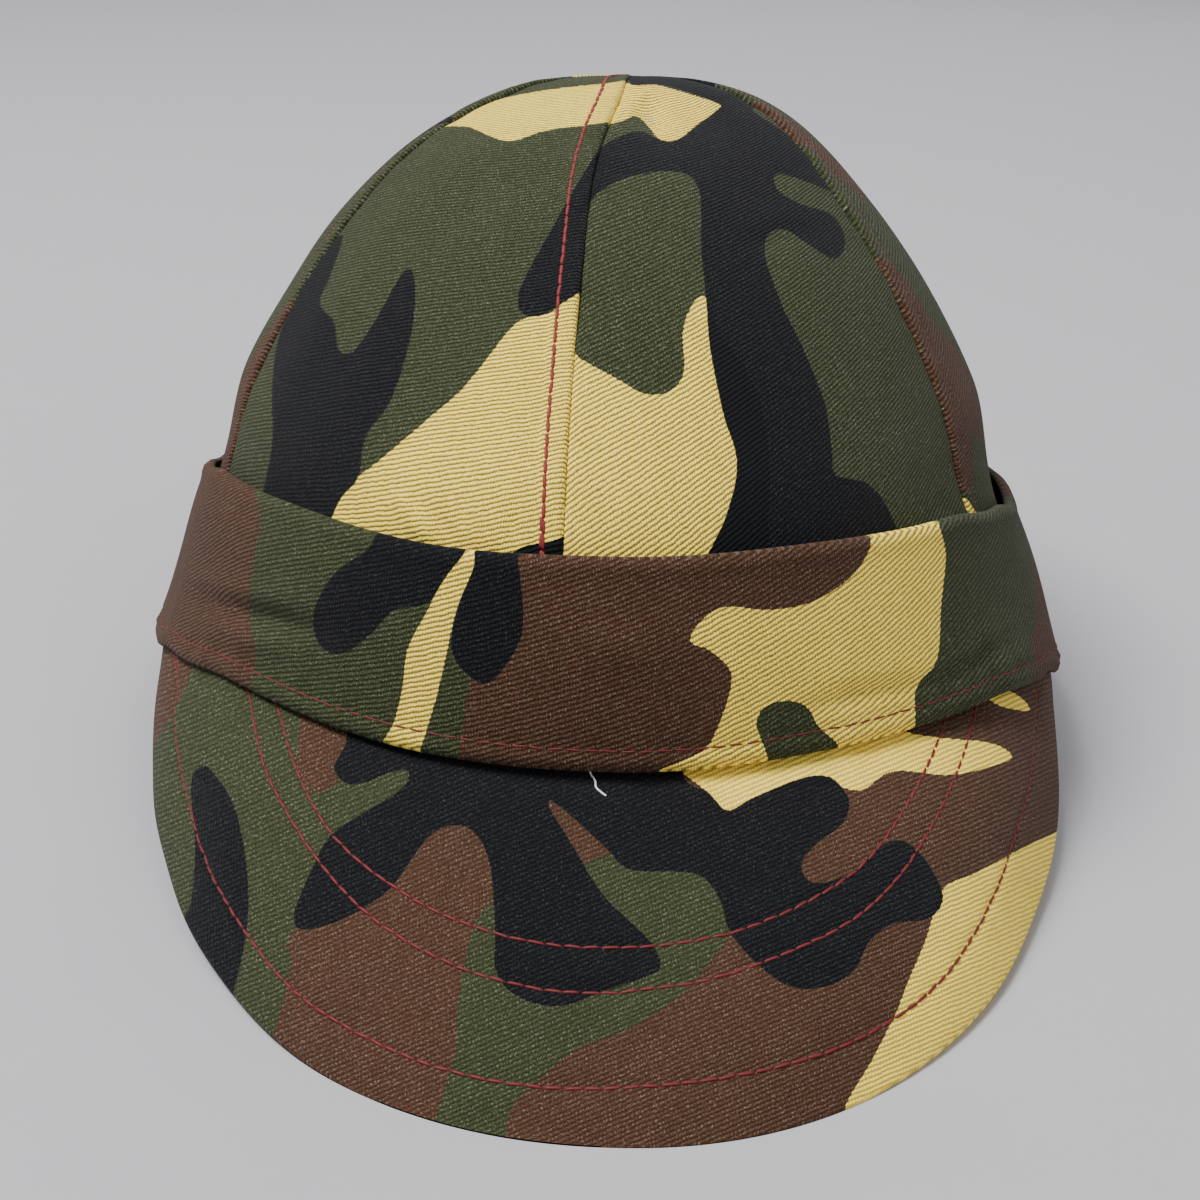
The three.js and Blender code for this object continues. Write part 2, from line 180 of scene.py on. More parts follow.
@dataclass(frozen=True)
class CapShape:
    """The main sizes of the cap in millimetres, and the smooth surfaces that they make."""

    crown_cloth: float = 1.2
    band_cloth: float = 1.6
    bill_cloth: float = 2.6
    rim_half_width: float = 86.0
    rim_half_length: float = 101.5
    rim_squareness: float = 2.09
    rim_front_dip: float = 5.3
    band_top_half_width: float = 75.0
    band_top_half_length: float = 98.8
    band_height: float = 28.0
    band_hang: float = 4.0
    band_low_clearance: float = 0.35
    band_top_clearance: float = 0.85
    crown_height: float = 97.4
    apex_back: float = 2.8
    crown_side_offset: float = -0.8
    apex_side_pull: float = 2.8
    seam_turn: float = -5.3
    bill_half_width: float = 83.0
    bill_reach: float = 149.2
    bill_ends_back: float = 5.1
    bill_squareness: float = 2.18
    bill_root_angle: float = 93.0
    bill_side_curl: float = 7.9
    bill_camber: float = 0.05
    bill_swell_length: float = 30.0
    bend_level: float = -0.02
    rest_tilt: float = 9.52
    rest_press: float = 0.9
    box_middle: Pair = (0.03, -125.33)
    # Shares of the crown's height, and of its half width and its half length front and back.
    profile_shares: tuple = (
        (0.46, 0.803, 0.862, 0.862),
        (0.68, 0.655, 0.655, 0.725),
        (0.87, 0.46, 0.405, 0.515),
        (0.975, 0.245, 0.2, 0.28),
        (1.0, 0.0, 0.0, 0.0),
    )
    # Angle, then the rise of the band's lower and upper edges as shares of its height.
    edge_waves: tuple = (
        (-180, 0, 0), (-130, 0, 0), (-90, -0.25, -0.16), (-75, -0.225, -0.07), (-60, -0.08, 0.02),
        (-45, 0, 0.014), (-20, -0.032, -0.025), (0, -0.021, 0), (22, 0.011, 0.025), (45, 0.018, 0.007),
        (60, -0.07, -0.07), (75, -0.25, -0.18), (90, -0.26, -0.12), (130, 0, -0.014), (180, 0, 0),
    )
    # Rises are shares of the thickness of the cloth.
    crown_dents: tuple[Swell, ...] = (
        Swell(20, 4.6, 13, 0.4, -1.5),
        Swell(-38, 1.25, 5, 0.3, -0.75),
        Swell(-20, 1.35, 9, 0.35, 0.58),
        Swell(46, 2, 12, 0.6, -0.92),
        Swell(150, 2.4, 16, 0.7, -1.17),
    )
    band_puffs: tuple[Swell, ...] = (
        Swell(-52, 0.74, 17, 0.17, 0.81),
        Swell(-8, 0.4, 22, 0.24, 0.56),
        Swell(47, 0.12, 8, 0.16, 1),
        Swell(74, 0.6, 10, 0.3, 0.69),
        Swell(160, 0.5, 18, 0.3, 0.5),
    )
    bill_swells: tuple[Swell, ...] = (
        Swell(-42, 0.45, 16, 0.3, 0.5),
        Swell(30, 0.6, 14, 0.3, 0.58),
        Swell(58, 0.7, 9, 0.25, -0.46),
        Swell(0, 0.35, 18, 0.25, -0.35),
    )

    @property
    def last_level(self) -> int:
        """The level of the apex."""
        return len(self.profile_shares) + 1

    def profile_rows(self) -> np.ndarray:
        """Height, side, front and back of each level, with one row below and one beyond the apex."""
        low_inset = self.band_cloth + self.band_low_clearance
        top_inset = self.band_cloth + self.band_top_clearance
        width, length = self.rim_half_width - low_inset, self.rim_half_length - low_inset
        top_length = self.band_top_half_length - top_inset
        low = np.array([0.0, width, length, length])
        top = np.array([self.band_height, self.band_top_half_width - top_inset, top_length, top_length])
        reach = np.array([self.crown_height, width, length, length])
        rows = [low, top] + [reach * np.array(shares) for shares in self.profile_shares]
        beyond = rows[-2] * np.array([1, -1, -1, -1])
        return np.array([2 * low - top] + rows + [beyond])

    def profile(self, level: np.ndarray) -> np.ndarray:
        """The crown's profile at levels between its rows, last axis height, side, front, back."""
        rows = self.profile_rows()
        index = np.clip(np.floor(level), -1, self.last_level - 1).astype(int)
        a, b, c, d = (rows[np.clip(index + step, -1, None) + 1] for step in (-1, 0, 1, 2))
        return through_four(a, b, c, d, (level - index)[..., None])

    def edge_wave(self, angle: np.ndarray, column: int) -> np.ndarray:
        """The wave of one edge of the band: column 1 is the lower edge and 2 the upper one."""
        rows = np.array(self.edge_waves, float)
        at = wrap_angle(angle)
        i = np.maximum(1, np.searchsorted(rows[:, 0], at))
        t = smoothstep((at - rows[i - 1, 0]) / (rows[i, 0] - rows[i - 1, 0]), 0, 1)
        return (rows[i - 1, column] + (rows[i, column] - rows[i - 1, column]) * t) * self.band_height

    def crown_middle(self, level: np.ndarray) -> np.ndarray:
        """The middle of the crown at levels: it leans back, and its apex is pulled sideways."""
        offset = self.crown_side_offset * smoothstep(level, 0, 1.5)
        pull = self.apex_side_pull * smoothstep(level, self.last_level - 2.5, self.last_level - 1)
        return np.stack([offset + pull, self.apex_back * (level / self.last_level) ** 2], -1)

    def crown(self, angle: np.ndarray, level: np.ndarray) -> np.ndarray:
        """Points of the crown's smooth outer surface, before dents."""
        angle, level = np.broadcast_arrays(np.asarray(angle, float), np.asarray(level, float))
        row = self.profile(level)
        turn = np.radians(angle)
        share = level / self.last_level
        length = np.where(np.cos(turn) > 0, row[..., 2], row[..., 3])
        power = 2 / self.rim_squareness
        dip = -self.rim_front_dip * np.maximum(0, np.cos(turn)) ** 4 * (1 - share) ** 4
        up = smoothstep(level, 0, 1)
        low = self.edge_wave(angle, 1) * (1 - up)
        top = self.edge_wave(angle, 2) * up * (1 - smoothstep(level, 1, 2))
        middle = self.crown_middle(level)
        x = middle[..., 0] + row[..., 1] * signed_power(np.sin(turn), power)
        y = middle[..., 1] - length * signed_power(np.cos(turn), power)
        return np.stack([x, y, row[..., 0] + dip + low + top], -1)

    def crown_normal(self, angle: np.ndarray, level: np.ndarray) -> np.ndarray:
        """Outward directions of the crown's smooth surface."""
        across = self.crown(angle + 0.2, level) - self.crown(angle - 0.2, level)
        along = self.crown(angle, level + 0.005) - self.crown(angle, level - 0.005)
        return unit(np.cross(across, along))

    def off_crown(self, angle: np.ndarray, level: np.ndarray, distance: np.ndarray) -> np.ndarray:
        """Points off the crown's smooth surface by a distance, positive outward."""
        distance = np.asarray(distance, float)[..., None]
        return self.crown(angle, level) + self.crown_normal(angle, level) * distance

    def bill_edge(self, share: np.ndarray) -> np.ndarray:
        """Points of the bill's outer edge, at shares from -1 to 1 along it."""
        turn = share * math.pi / 2
        power = 2 / self.bill_squareness
        length = self.bill_reach + self.bill_ends_back
        y = self.bill_ends_back - length * signed_power(np.cos(turn), power)
        x = self.bill_half_width * signed_power(np.sin(turn), power)
        fall = (self.rim_half_length - y) * math.tan(math.radians(self.rest_tilt))
        return np.stack([x, y, self.bill_side_curl * np.sin(turn) ** 4 - fall], -1)

    def bill(self, share: np.ndarray, reach: np.ndarray) -> np.ndarray:
        """Points of the bill's upper surface: along it from -1 to 1, and from its bend to its edge."""
        share, reach = np.broadcast_arrays(np.asarray(share, float), np.asarray(reach, float))
        angle = share * self.bill_root_angle
        bend = self.crown(angle, np.full_like(angle, self.bend_level))
        edge = self.bill_edge(share)
        length = np.linalg.norm(edge - bend, axis=-1)
        fade = np.minimum(1, length / self.bill_swell_length)
        swell = relief(self.bill_swells, angle, reach) * self.bill_cloth * fade
        lift = self.bill_camber * length * 4 * reach * (1 - reach) + swell
        turn = np.radians(angle)
        push = np.stack([0.2 * np.sin(turn), -0.6 * np.cos(turn), np.full_like(turn, 0.8)], -1)
        return bend + (edge - bend) * reach[..., None] + push * lift[..., None]

    def bill_normal(self, share: np.ndarray, reach: np.ndarray) -> np.ndarray:
        """Upward directions of the bill's upper surface."""
        at = np.maximum(reach, 0.02)
        along = self.bill(share, at - 0.02) - self.bill(share, at + 0.02)
        across = self.bill(share + 0.004, at) - self.bill(share - 0.004, at)
        return unit(np.cross(across, along))

    def tilt(self, points: np.ndarray) -> np.ndarray:
        """Points of the upright cap tilted back to its resting pose, with nothing pressed flat."""
        turn = math.radians(self.rest_tilt)
        y, z = points[..., 1] - self.rim_half_length, points[..., 2]
        back = y * math.cos(turn) + z * math.sin(turn) - self.box_middle[1]
        up = z * math.cos(turn) - y * math.sin(turn) - self.rest_press
        return np.stack([points[..., 0] - self.box_middle[0], back, up], -1)

    def rest(self, points: np.ndarray) -> np.ndarray:
        """Points of the upright cap at rest, pressed flat where they meet the ground."""
        down = self.tilt(points)
        down[..., 2] = np.maximum(down[..., 2], 0.0)
        return down


@dataclass(frozen=True)
class PhotoCamera:
    """The photograph's viewpoint, given in the upright cap's frame, and its pixels."""

    shape: CapShape
    image_side: float = 1200.0
    focal_pixels: float = 2000.0
    sensor: float = 36.0
    distance: float = 393.4
    elevation: float = 12.74
    yaw: float = -0.505
    roll: float = 1.70
    target: tuple[float, float, float] = (-1.51, 0.0, -2.59)

    def axes(self) -> tuple[np.ndarray, np.ndarray, np.ndarray, np.ndarray]:
        """The camera's place and its right, up and forward directions in the resting frame."""
        e, w, r = (math.radians(v) for v in (self.elevation, self.yaw, self.roll))
        forward = np.array([-math.sin(w) * math.cos(e), math.cos(w) * math.cos(e), -math.sin(e)])
        level = np.array([math.cos(w), math.sin(w), 0.0])
        over = np.cross(level, forward)
        right = level * math.cos(r) + over * math.sin(r)
        up = over * math.cos(r) - level * math.sin(r)
        place = np.array(self.target) - forward * self.distance
        ends = self.shape.tilt(np.array([place, place + right, place + up, place + forward]))
        return ends[0], ends[1] - ends[0], ends[2] - ends[0], ends[3] - ends[0]

    def pixels(self, points: np.ndarray) -> np.ndarray:
        """Where resting points, in millimetres, fall in the photograph, in its pixels."""
        place, right, up, forward = self.axes()
        ray = points - place
        scale = self.focal_pixels / (ray @ forward)
        half = self.image_side / 2
        return np.stack([half + (ray @ right) * scale, half - (ray @ up) * scale], -1)

    def build(self) -> bpy.types.Object:
        """Makes the scene's camera.

        Returns:
            The camera object.
        """
        data = bpy.data.cameras.new("photo_camera")
        data.sensor_fit = "HORIZONTAL"
        data.sensor_width = self.sensor
        data.lens = self.focal_pixels / self.image_side * self.sensor
        camera = bpy.data.objects.new("photo_camera", data)
        place, right, up, forward = self.axes()
        turn = Matrix((right, up, -forward)).transposed().to_4x4()
        camera.matrix_world = Matrix.Translation(place * METRES) @ turn
        bpy.context.scene.collection.objects.link(camera)
        bpy.context.scene.camera = camera
        return camera


class Ink(Enum):
    """The printed colours, from the cloth's ground up: each covers the ones before it."""

    BROWN = 0
    GREEN = 1
    CREAM = 2
    BLACK = 3


class Outline:
    """A smooth closed printed patch."""

    STEPS = 5
    BATCH = 4000

    def __init__(self, points: Sequence[Sequence[float]]) -> None:
        """Keeps the patch's smooth line through its points."""
        self.line = smooth_line(points, True, self.STEPS)

    def depth(self, places: np.ndarray, margin: float) -> np.ndarray:
        """How deep places lie inside the patch.

        Args:
            places: points in the outline's own units, last axis 2.
            margin: the furthest distance outside that matters.

        Returns:
            Distances to the patch's line, positive inside.
        """
        flat = places.reshape(-1, 2)
        result = np.full(len(flat), -margin)
        low, high = self.line.min(0) - margin, self.line.max(0) + margin
        near = np.flatnonzero(((flat > low) & (flat < high)).all(1))
        start, end = self.line, np.roll(self.line, -1, 0)
        step = end - start
        square = np.maximum((step * step).sum(1), 1e-9)
        for part in np.array_split(near, max(1, len(near) // self.BATCH)):
            spot = flat[part][:, None]
            along = np.clip(((spot - start) * step).sum(2) / square, 0, 1)
            distance = np.linalg.norm(spot - start - along[..., None] * step, axis=2).min(1)
            above = (start[:, 1] > spot[..., 1]) != (end[:, 1] > spot[..., 1])
            rise = np.where(np.abs(step[:, 1]) > 1e-12, step[:, 1], 1e-12)
            cross = start[:, 0] + (spot[..., 1] - start[:, 1]) / rise * step[:, 0]
            inside = (above & (spot[..., 0] < cross)).sum(1) % 2 == 1
            result[part] = np.where(inside, distance, -distance)
        return np.maximum(result, -margin).reshape(places.shape[:-1])


class Patches:
    """Printed patches as outlines in the photograph's pixels, read off the cloth."""

    PIXELS_PER_MM = 6.2

    black_fork = [
        (262, 520), (262, 498), (272, 444), (272, 388), (277, 344), (289, 310), (308, 275), (326, 246),
        (343, 236), (330, 277), (320, 303), (334, 322), (338, 348), (347, 354), (357, 347), (376, 319),
        (399, 278), (409, 268), (415, 284), (412, 330), (392, 398), (366, 436), (358, 478), (341, 498),
        (318, 540), (280, 550),
    ]
    cream_wedge = [
        (326, 522), (352, 483), (380, 460), (435, 413), (466, 385), (507, 333), (524, 319), (552, 312),
        (574, 292), (610, 288), (640, 330), (640, 600), (320, 600), (310, 550),
    ]
    black_band_corner = [(585, 533), (552, 541), (522, 547), (508, 560), (505, 590), (585, 590)]
    black_by_seam = [
        (640, 120), (607, 140), (580, 179), (551, 230), (524, 279), (518, 300), (523, 314), (540, 316),
        (557, 307), (584, 289), (610, 270), (640, 250),
    ]
    cream_top_left = [
        (441, 126), (469, 127), (507, 141), (548, 130), (602, 123), (660, 112), (660, 80), (601, 84),
        (541, 91), (494, 101), (457, 116),
    ]
    cream_top_right = [
        (590, 90), (640, 83), (661, 86), (695, 96), (724, 107), (700, 122), (679, 139), (661, 140),
        (648, 126), (636, 116), (618, 122), (590, 124),
    ]
    cream_behind_apex = [
        (566, 72), (578, 66), (600, 62), (632, 60), (636, 84), (612, 90), (598, 86), (586, 82),
    ]
    black_trunk = [
        (560, 205), (576, 175), (603, 146), (637, 131), (661, 140), (679, 139), (711, 115), (735, 98),
        (760, 116), (800, 142), (850, 178), (885, 218), (862, 208), (836, 194), (801, 180), (776, 174),
        (778, 190), (801, 204), (829, 213), (843, 230), (844, 250), (832, 258), (806, 243), (784, 229),
        (768, 236), (766, 260), (783, 307), (803, 348), (825, 404), (832, 450), (836, 475), (867, 483),
        (889, 510), (900, 550), (880, 600), (720, 600), (702, 572), (726, 516), (737, 463), (723, 413),
        (710, 348), (706, 297), (701, 248), (699, 190), (679, 172), (632, 176), (597, 194), (570, 226),
    ]
    black_top = [
        (630, 84), (661, 85), (697, 95), (724, 106), (745, 112), (760, 96), (700, 66), (640, 62),
    ]
    cream_front_right = [
        (550, 340), (579, 358), (617, 379), (645, 394), (670, 391), (684, 372), (683, 332), (692, 305),
        (706, 297), (720, 330), (760, 400), (770, 500), (740, 600), (540, 600),
    ]
    band_green = [
        (262, 470), (260, 522), (250, 584), (250, 622), (256, 650), (252, 680), (250, 720), (330, 780),
        (440, 790), (470, 680), (500, 560), (500, 500), (380, 480),
    ]
    black_blob = [
        (378, 530), (368, 549), (336, 572), (316, 604), (314, 632), (325, 650), (345, 653), (372, 633),
        (395, 609), (427, 604), (446, 577), (470, 545), (480, 520), (400, 510),
    ]
    cream_strip = [
        (466, 545), (441, 583), (427, 612), (408, 648), (402, 690), (392, 727), (370, 762), (372, 790),
        (404, 790), (427, 728), (441, 678), (456, 612), (476, 562), (482, 540),
    ]
    black_drop = [
        (476, 530), (474, 566), (458, 606), (451, 644), (460, 667), (484, 684), (503, 669), (521, 638),
        (523, 600), (518, 560), (522, 530),
    ]
    cream_band_right = [
        (876, 520), (870, 549), (850, 578), (812, 602), (769, 610), (725, 607), (700, 622), (690, 642),
        (709, 650), (731, 672), (727, 702), (708, 746), (680, 762), (655, 775), (660, 810), (800, 800),
        (930, 740), (915, 705), (919, 682), (937, 660), (941, 605), (946, 555), (943, 510),
    ]
    green_dot = [
        (756, 722), (768, 705), (790, 701), (808, 708), (819, 727), (840, 748), (840, 780), (775, 785),
        (768, 758),
    ]
    green_band_end = [
        (935, 500), (946, 555), (941, 605), (937, 660), (919, 682), (915, 705), (925, 745), (1000, 740),
        (1030, 700), (1033, 640), (1034, 580), (1026, 520), (1018, 470), (960, 480),
    ]
    bill_green_side = [
        (205, 660), (180, 700), (150, 752), (120, 800), (120, 960), (200, 1060), (262, 1050), (279, 1015),
        (292, 962), (296, 928), (420, 840), (430, 770), (380, 700), (300, 660),
    ]
    brown_knob = [
        (303, 690), (300, 727), (297, 762), (304, 786), (320, 793), (340, 778), (361, 742), (375, 700),
        (340, 670),
    ]
    black_oval = [
        (191, 782), (204, 766), (216, 776), (234, 806), (246, 859), (248, 915), (239, 971), (222, 1014),
        (196, 1000), (176, 940), (190, 905), (195, 850),
    ]
    black_star = [
        (660, 735), (460, 728), (361, 722), (344, 748), (334, 768), (345, 783), (364, 783), (389, 773),
        (409, 770), (402, 788), (370, 809), (332, 834), (314, 865), (294, 913), (303, 930), (345, 918),
        (390, 889), (423, 843), (445, 827), (472, 830), (490, 865), (495, 931), (496, 972), (520, 998),
        (562, 1006), (607, 990), (646, 977), (661, 966), (649, 940), (604, 896), (573, 846), (547, 802),
        (564, 810), (607, 849), (631, 870), (696, 874), (720, 900), (729, 930), (752, 959), (788, 986),
        (824, 987), (854, 971), (869, 942), (893, 924), (930, 918), (943, 896), (927, 862), (904, 841),
        (881, 846), (849, 874), (814, 883), (801, 866), (815, 845), (842, 824), (849, 800), (830, 777),
        (799, 779), (752, 798), (728, 811), (708, 792), (684, 779),
    ]
    bill_green_middle = [
        (482, 912), (467, 952), (457, 1009), (456, 1050), (443, 1093), (434, 1150), (496, 1160),
        (511, 1109), (542, 1077), (576, 1049), (624, 1031), (677, 998), (712, 959), (731, 931),
        (728, 895), (700, 866), (640, 852), (596, 858), (560, 880), (510, 896),
    ]
    cream_tongue = [
        (680, 760), (708, 792), (725, 811), (768, 793), (830, 786), (862, 790), (893, 771), (949, 775),
        (996, 765), (1012, 756), (990, 743), (934, 737), (902, 729), (885, 700), (760, 720),
    ]
    cream_tail = [(985, 694), (1004, 690), (1020, 697), (1030, 710), (1012, 709), (996, 704)]
    cream_bill_edge = [
        (942, 890), (974, 874), (1015, 852), (1053, 834), (1100, 815), (1110, 1000), (970, 1160),
        (838, 1140), (847, 1103), (871, 1062), (895, 1015), (908, 982), (927, 937),
    ]
    cream_drop = [(0, 0), (8, 60), (22, 105), (50, 120), (62, 90), (46, 50), (22, 14)]
    # Wide leaf-like patches that complete the print where the photograph's view doesn't reach.
    wide_leaf = [
        (0, 40), (60, 0), (150, 10), (210, 60), (300, 50), (380, 110), (360, 190), (270, 210), (220, 280),
        (120, 300), (60, 240), (80, 160), (10, 120),
    ]
    long_leaf = [
        (0, 0), (90, 20), (150, 90), (240, 120), (330, 100), (420, 150), (470, 240), (400, 260),
        (310, 200), (220, 220), (120, 190), (60, 110),
    ]


SeenPatch = tuple[Ink, str]


@dataclass(frozen=True)
class Stamp:
    """One patch of the print laid on a cut piece of cloth: its middle, turn and scale."""

    ink: Ink
    patch: str
    middle: Pair
    turn: float = 0.0
    scale: float = 1.0

    def outline(self) -> Outline:
        """The patch as an outline over the cloth, in millimetres."""
        points = np.array(getattr(Patches, self.patch), float)
        centre = (points.min(0) + points.max(0)) / 2
        points = (points - centre) * np.array([1, -1]) / Patches.PIXELS_PER_MM * self.scale
        c, s = math.cos(math.radians(self.turn)), math.sin(math.radians(self.turn))
        return Outline(points @ np.array([[c, s], [-s, c]]) + np.array(self.middle))


class PrintField:
    """How deep each point of a cloth piece lies in each printed colour."""

    TUCK = 0.6

    def __init__(self, count: tuple[int, ...], ground: Ink) -> None:
        """Starts with the ground colour everywhere."""
        self.depths = {ink: np.full(count, -FAR) for ink in list(Ink)[1:]}
        if ground in self.depths:
            self.depths[ground][...] = FAR

    def paint(self, ink: Ink, depth: np.ndarray) -> None:
        """Prints one patch over what is there.

        Args:
            ink: its colour.
            depth: how deep each point lies in the patch, in millimetres.
        """
        upper = [other for other in self.depths if other.value > ink.value]
        covered = np.full(depth.shape, -FAR)
        for other in upper:
            covered = np.maximum(covered, self.depths[other])
            self.depths[other] = np.minimum(self.depths[other], -depth)
        if ink in self.depths:
            grown = np.where(covered > -self.TUCK, depth + self.TUCK, depth)
            self.depths[ink] = np.maximum(self.depths[ink], grown)

    def stamp(self, stamps: Sequence[Stamp], flat: np.ndarray) -> None:
        """Prints stamps that are laid on the cut cloth, given its flat places."""
        for stamp in stamps:
            self.paint(stamp.ink, stamp.outline().depth(flat, STAMP_MARGIN))

    def print_seen(
        self, seen: Sequence[SeenPatch], pixels: np.ndarray, hidden: np.ndarray | float = 0.0
    ) -> None:
        """Prints patches where the photograph shows them.

        Args:
            seen: the patches, with their inks.
            pixels: where each point falls in the photograph.
            hidden: what is taken off the depth, in pixels, to keep points out of the photograph's view.
        """
        for ink, patch in seen:
            depth = Outline(getattr(Patches, patch)).depth(pixels, FAR) - hidden
            self.paint(ink, depth / Patches.PIXELS_PER_MM)

    def attributes(self) -> dict[str, np.ndarray]:
        """The depths by attribute name."""
        return {ink.name.lower(): depth for ink, depth in self.depths.items()}


@dataclass
class ClothGrid:
    """A net of points over one face of a cloth piece: columns across it and rows along it."""

    shape: CapShape
    camera: PhotoCamera
    points: np.ndarray
    outward: np.ndarray
    flat: np.ndarray

    def push(self, distance: np.ndarray) -> None:
        """Moves the points along their outward directions by distances in millimetres."""
        self.points = self.points + self.outward * distance[..., None]

    def pixels(self) -> np.ndarray:
        """Where the resting points fall in the photograph."""
        return self.camera.pixels(self.shape.rest(self.points))

    def faces_camera(self, least: float = 0.0) -> np.ndarray:
        """Which points face the photograph's camera by at least this cosine."""
        place = self.camera.axes()[0]
        ray = unit(place - self.shape.rest(self.points))
        tip = self.shape.tilt(self.points + self.outward) - self.shape.tilt(self.points)
        return (ray * tip).sum(-1) > least

    def at(self, spots: np.ndarray, values: np.ndarray) -> np.ndarray:
        """Values of the net between its points.

        Args:
            spots: column and row of each wanted place, as fractions.
            values: an array over the net.

        Returns:
            The interpolated values.
        """
        n, m = self.points.shape[:2]
        c, r = np.clip(spots[:, 0], 0, n - 1.001), np.clip(spots[:, 1], 0, m - 1.001)
        i, j = c.astype(int), r.astype(int)
        s, t = (c - i)[:, None], (r - j)[:, None]
        low = values[i, j] * (1 - s) + values[i + 1, j] * s
        high = values[i, j + 1] * (1 - s) + values[i + 1, j + 1] * s
        return low * (1 - t) + high * t

    def under(self, pixels: np.ndarray) -> np.ndarray:
        """The spots of the net that fall on pixels of the photograph.

        Args:
            pixels: the wanted pixels.

        Returns:
            Column and row of each, as fractions.
        """
        seen = self.pixels()
        hidden = ~self.faces_camera()
        n, m = hidden.shape
        spots = []
        for pixel in pixels:
            miss = np.linalg.norm(seen - pixel, axis=-1) + hidden * 1e6
            i, j = np.unravel_index(np.argmin(miss), miss.shape)
            i, j = min(max(i, 1), n - 2), min(max(j, 1), m - 2)
            across = (seen[i + 1, j] - seen[i - 1, j]) / 2
            along = (seen[i, j + 1] - seen[i, j - 1]) / 2
            step = np.linalg.solve(np.stack([across, along], 1), pixel - seen[i, j])
            spots.append([i, j] + np.clip(step, -1.5, 1.5))
        return np.array(spots)


@dataclass(frozen=True)
class Crease:
    """A soft ridge or furrow of the cloth along a line of the photograph, in its pixels."""

    line: tuple[Pair, ...]
    width: float
    rise: float

    def height(self, grid: ClothGrid) -> np.ndarray:
        """The crease's height over a net, fading out at both of its ends."""
        path = smooth_line(self.line, False, 8)
        seen = grid.pixels()
        gap = np.linalg.norm(seen[..., None, :] - path, axis=-1)
        nearest = gap.argmin(-1)
        share = nearest / (len(path) - 1)
        fade = np.sin(np.pi * np.clip(share * 0.9 + 0.05, 0, 1))
        shown = grid.faces_camera()
        return self.rise * fade * bell(gap.min(-1), self.width) * shown


def mesh_object(name: str, points: np.ndarray, faces: list[list[int]]) -> bpy.types.Object:
    """Makes a smoothly shaded mesh object and puts it in the scene.

    Args:
        name: its name.
        points: its points, in metres.
        faces: the numbers of the points of each face.

    Returns:
        The object.
    """
    mesh = bpy.data.meshes.new(name)
    mesh.from_pydata(points.tolist(), [], faces)
    mesh.shade_smooth()
    piece = bpy.data.objects.new(name, mesh)
    bpy.context.scene.collection.objects.link(piece)
    return piece


# The slopes of the points that round off the edge of a cloth piece, in degrees.
EDGE_LIFTS = (60.0, 0.0, -60.0)


def cloth_mesh(
    name: str,
    shape: CapShape,
    outer: np.ndarray,
    inner: np.ndarray,
    ring: bool,
    bulge: float,
    attributes: dict[str, tuple[np.ndarray, np.ndarray]],
) -> bpy.types.Object:
    """Closes an outer and an inner net into one body of cloth with rounded edges.

    Args:
        name: the piece's name.
        shape: the cap's sizes, which lay the piece at rest.
        outer, inner: the two nets, in millimetres of the upright frame.
        ring: whether the last column joins the first.
        bulge: how far the rounded edges stand out.
        attributes: the outer and the inner values of each named attribute.

    Returns:
        The mesh object, with its attributes on the points.
    """
    n, m = outer.shape[:2]
    number = np.arange(n * m).reshape(n, m)
    cells = number if not ring else np.vstack([number, number[:1]])
    quads = np.stack([cells[:-1, :-1], cells[1:, :-1], cells[1:, 1:], cells[:-1, 1:]], -1).reshape(-1, 4)
    faces = [quads, quads[:, ::-1] + n * m]
    points = [outer.reshape(-1, 3), inner.reshape(-1, 3)]
    values = {key: [side.reshape(n * m, -1) for side in pair] for key, pair in attributes.items()}
    if ring:
        loops = [(number[:, 0], number[:, 1]), (number[::-1, -1], number[::-1, -2])]
    else:
        turn = [number[:-1, 0], number[-1, :-1], number[:0:-1, -1], number[0, :0:-1]]
        within = [number[:-1, 1], number[-2, :-1], number[:0:-1, -2], number[1, :0:-1]]
        loops = [(np.concatenate(turn), np.concatenate(within))]
    base = 2 * n * m
    for edge, inside in loops:
        top, under = points[0][edge], points[1][edge]
        middle, half = (top + under) / 2, (top - under) / 2
        away = unit(middle - (points[0][inside] + points[1][inside]) / 2)
        rows = [edge]
        for lift in EDGE_LIFTS:
            out = bulge * math.cos(math.radians(lift))
            points.append(middle + away * out + half * math.sin(math.radians(lift)))
            rows.append(base + np.arange(len(edge)))
            base += len(edge)
            for key in values:
                values[key].append(values[key][0][edge])
        rows.append(edge + n * m)
        for upper, lower in zip(rows[:-1], rows[1:]):
            ahead, below = np.roll(upper, -1), np.roll(lower, -1)
            faces.append(np.stack([upper, lower, below, ahead], -1))
    piece = mesh_object(name, shape.rest(np.vstack(points)) * METRES, np.vstack(faces).tolist())
    for key, parts in values.items():
        stacked = np.vstack(parts).astype(np.float32)
        kind, field_name = ("FLOAT", "value") if stacked.shape[1] == 1 else ("FLOAT_VECTOR", "vector")
        attribute = piece.data.attributes.new(key, kind, "POINT")
        attribute.data.foreach_set(field_name, stacked.ravel())
    return piece


def place_piece(piece: bpy.types.Object, finish: bpy.types.Material, slot: str, *nodes: str) -> None:
    """Gives a piece its finish, rides it on the cap and puts it in place of nodes.

    Args:
        piece: the piece's object.
        finish: its material.
        slot: not used.
        nodes: the part's nodes that it stands for.
    """
    piece.data.materials.append(finish)
    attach(piece, "root")
    if nodes:
        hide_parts(*nodes)
    LOG.info("%s: %d points, %d faces", piece.name, len(piece.data.vertices), len(piece.data.polygons))


def row_lengths(points: np.ndarray, axis: int) -> np.ndarray:
    """The distance run along a net from its first line, by axis."""
    steps = np.linalg.norm(np.diff(points, axis=axis), axis=-1)
    start = np.zeros_like(np.take(steps, [0], axis))
    return np.concatenate([start, np.cumsum(steps, axis)], axis)


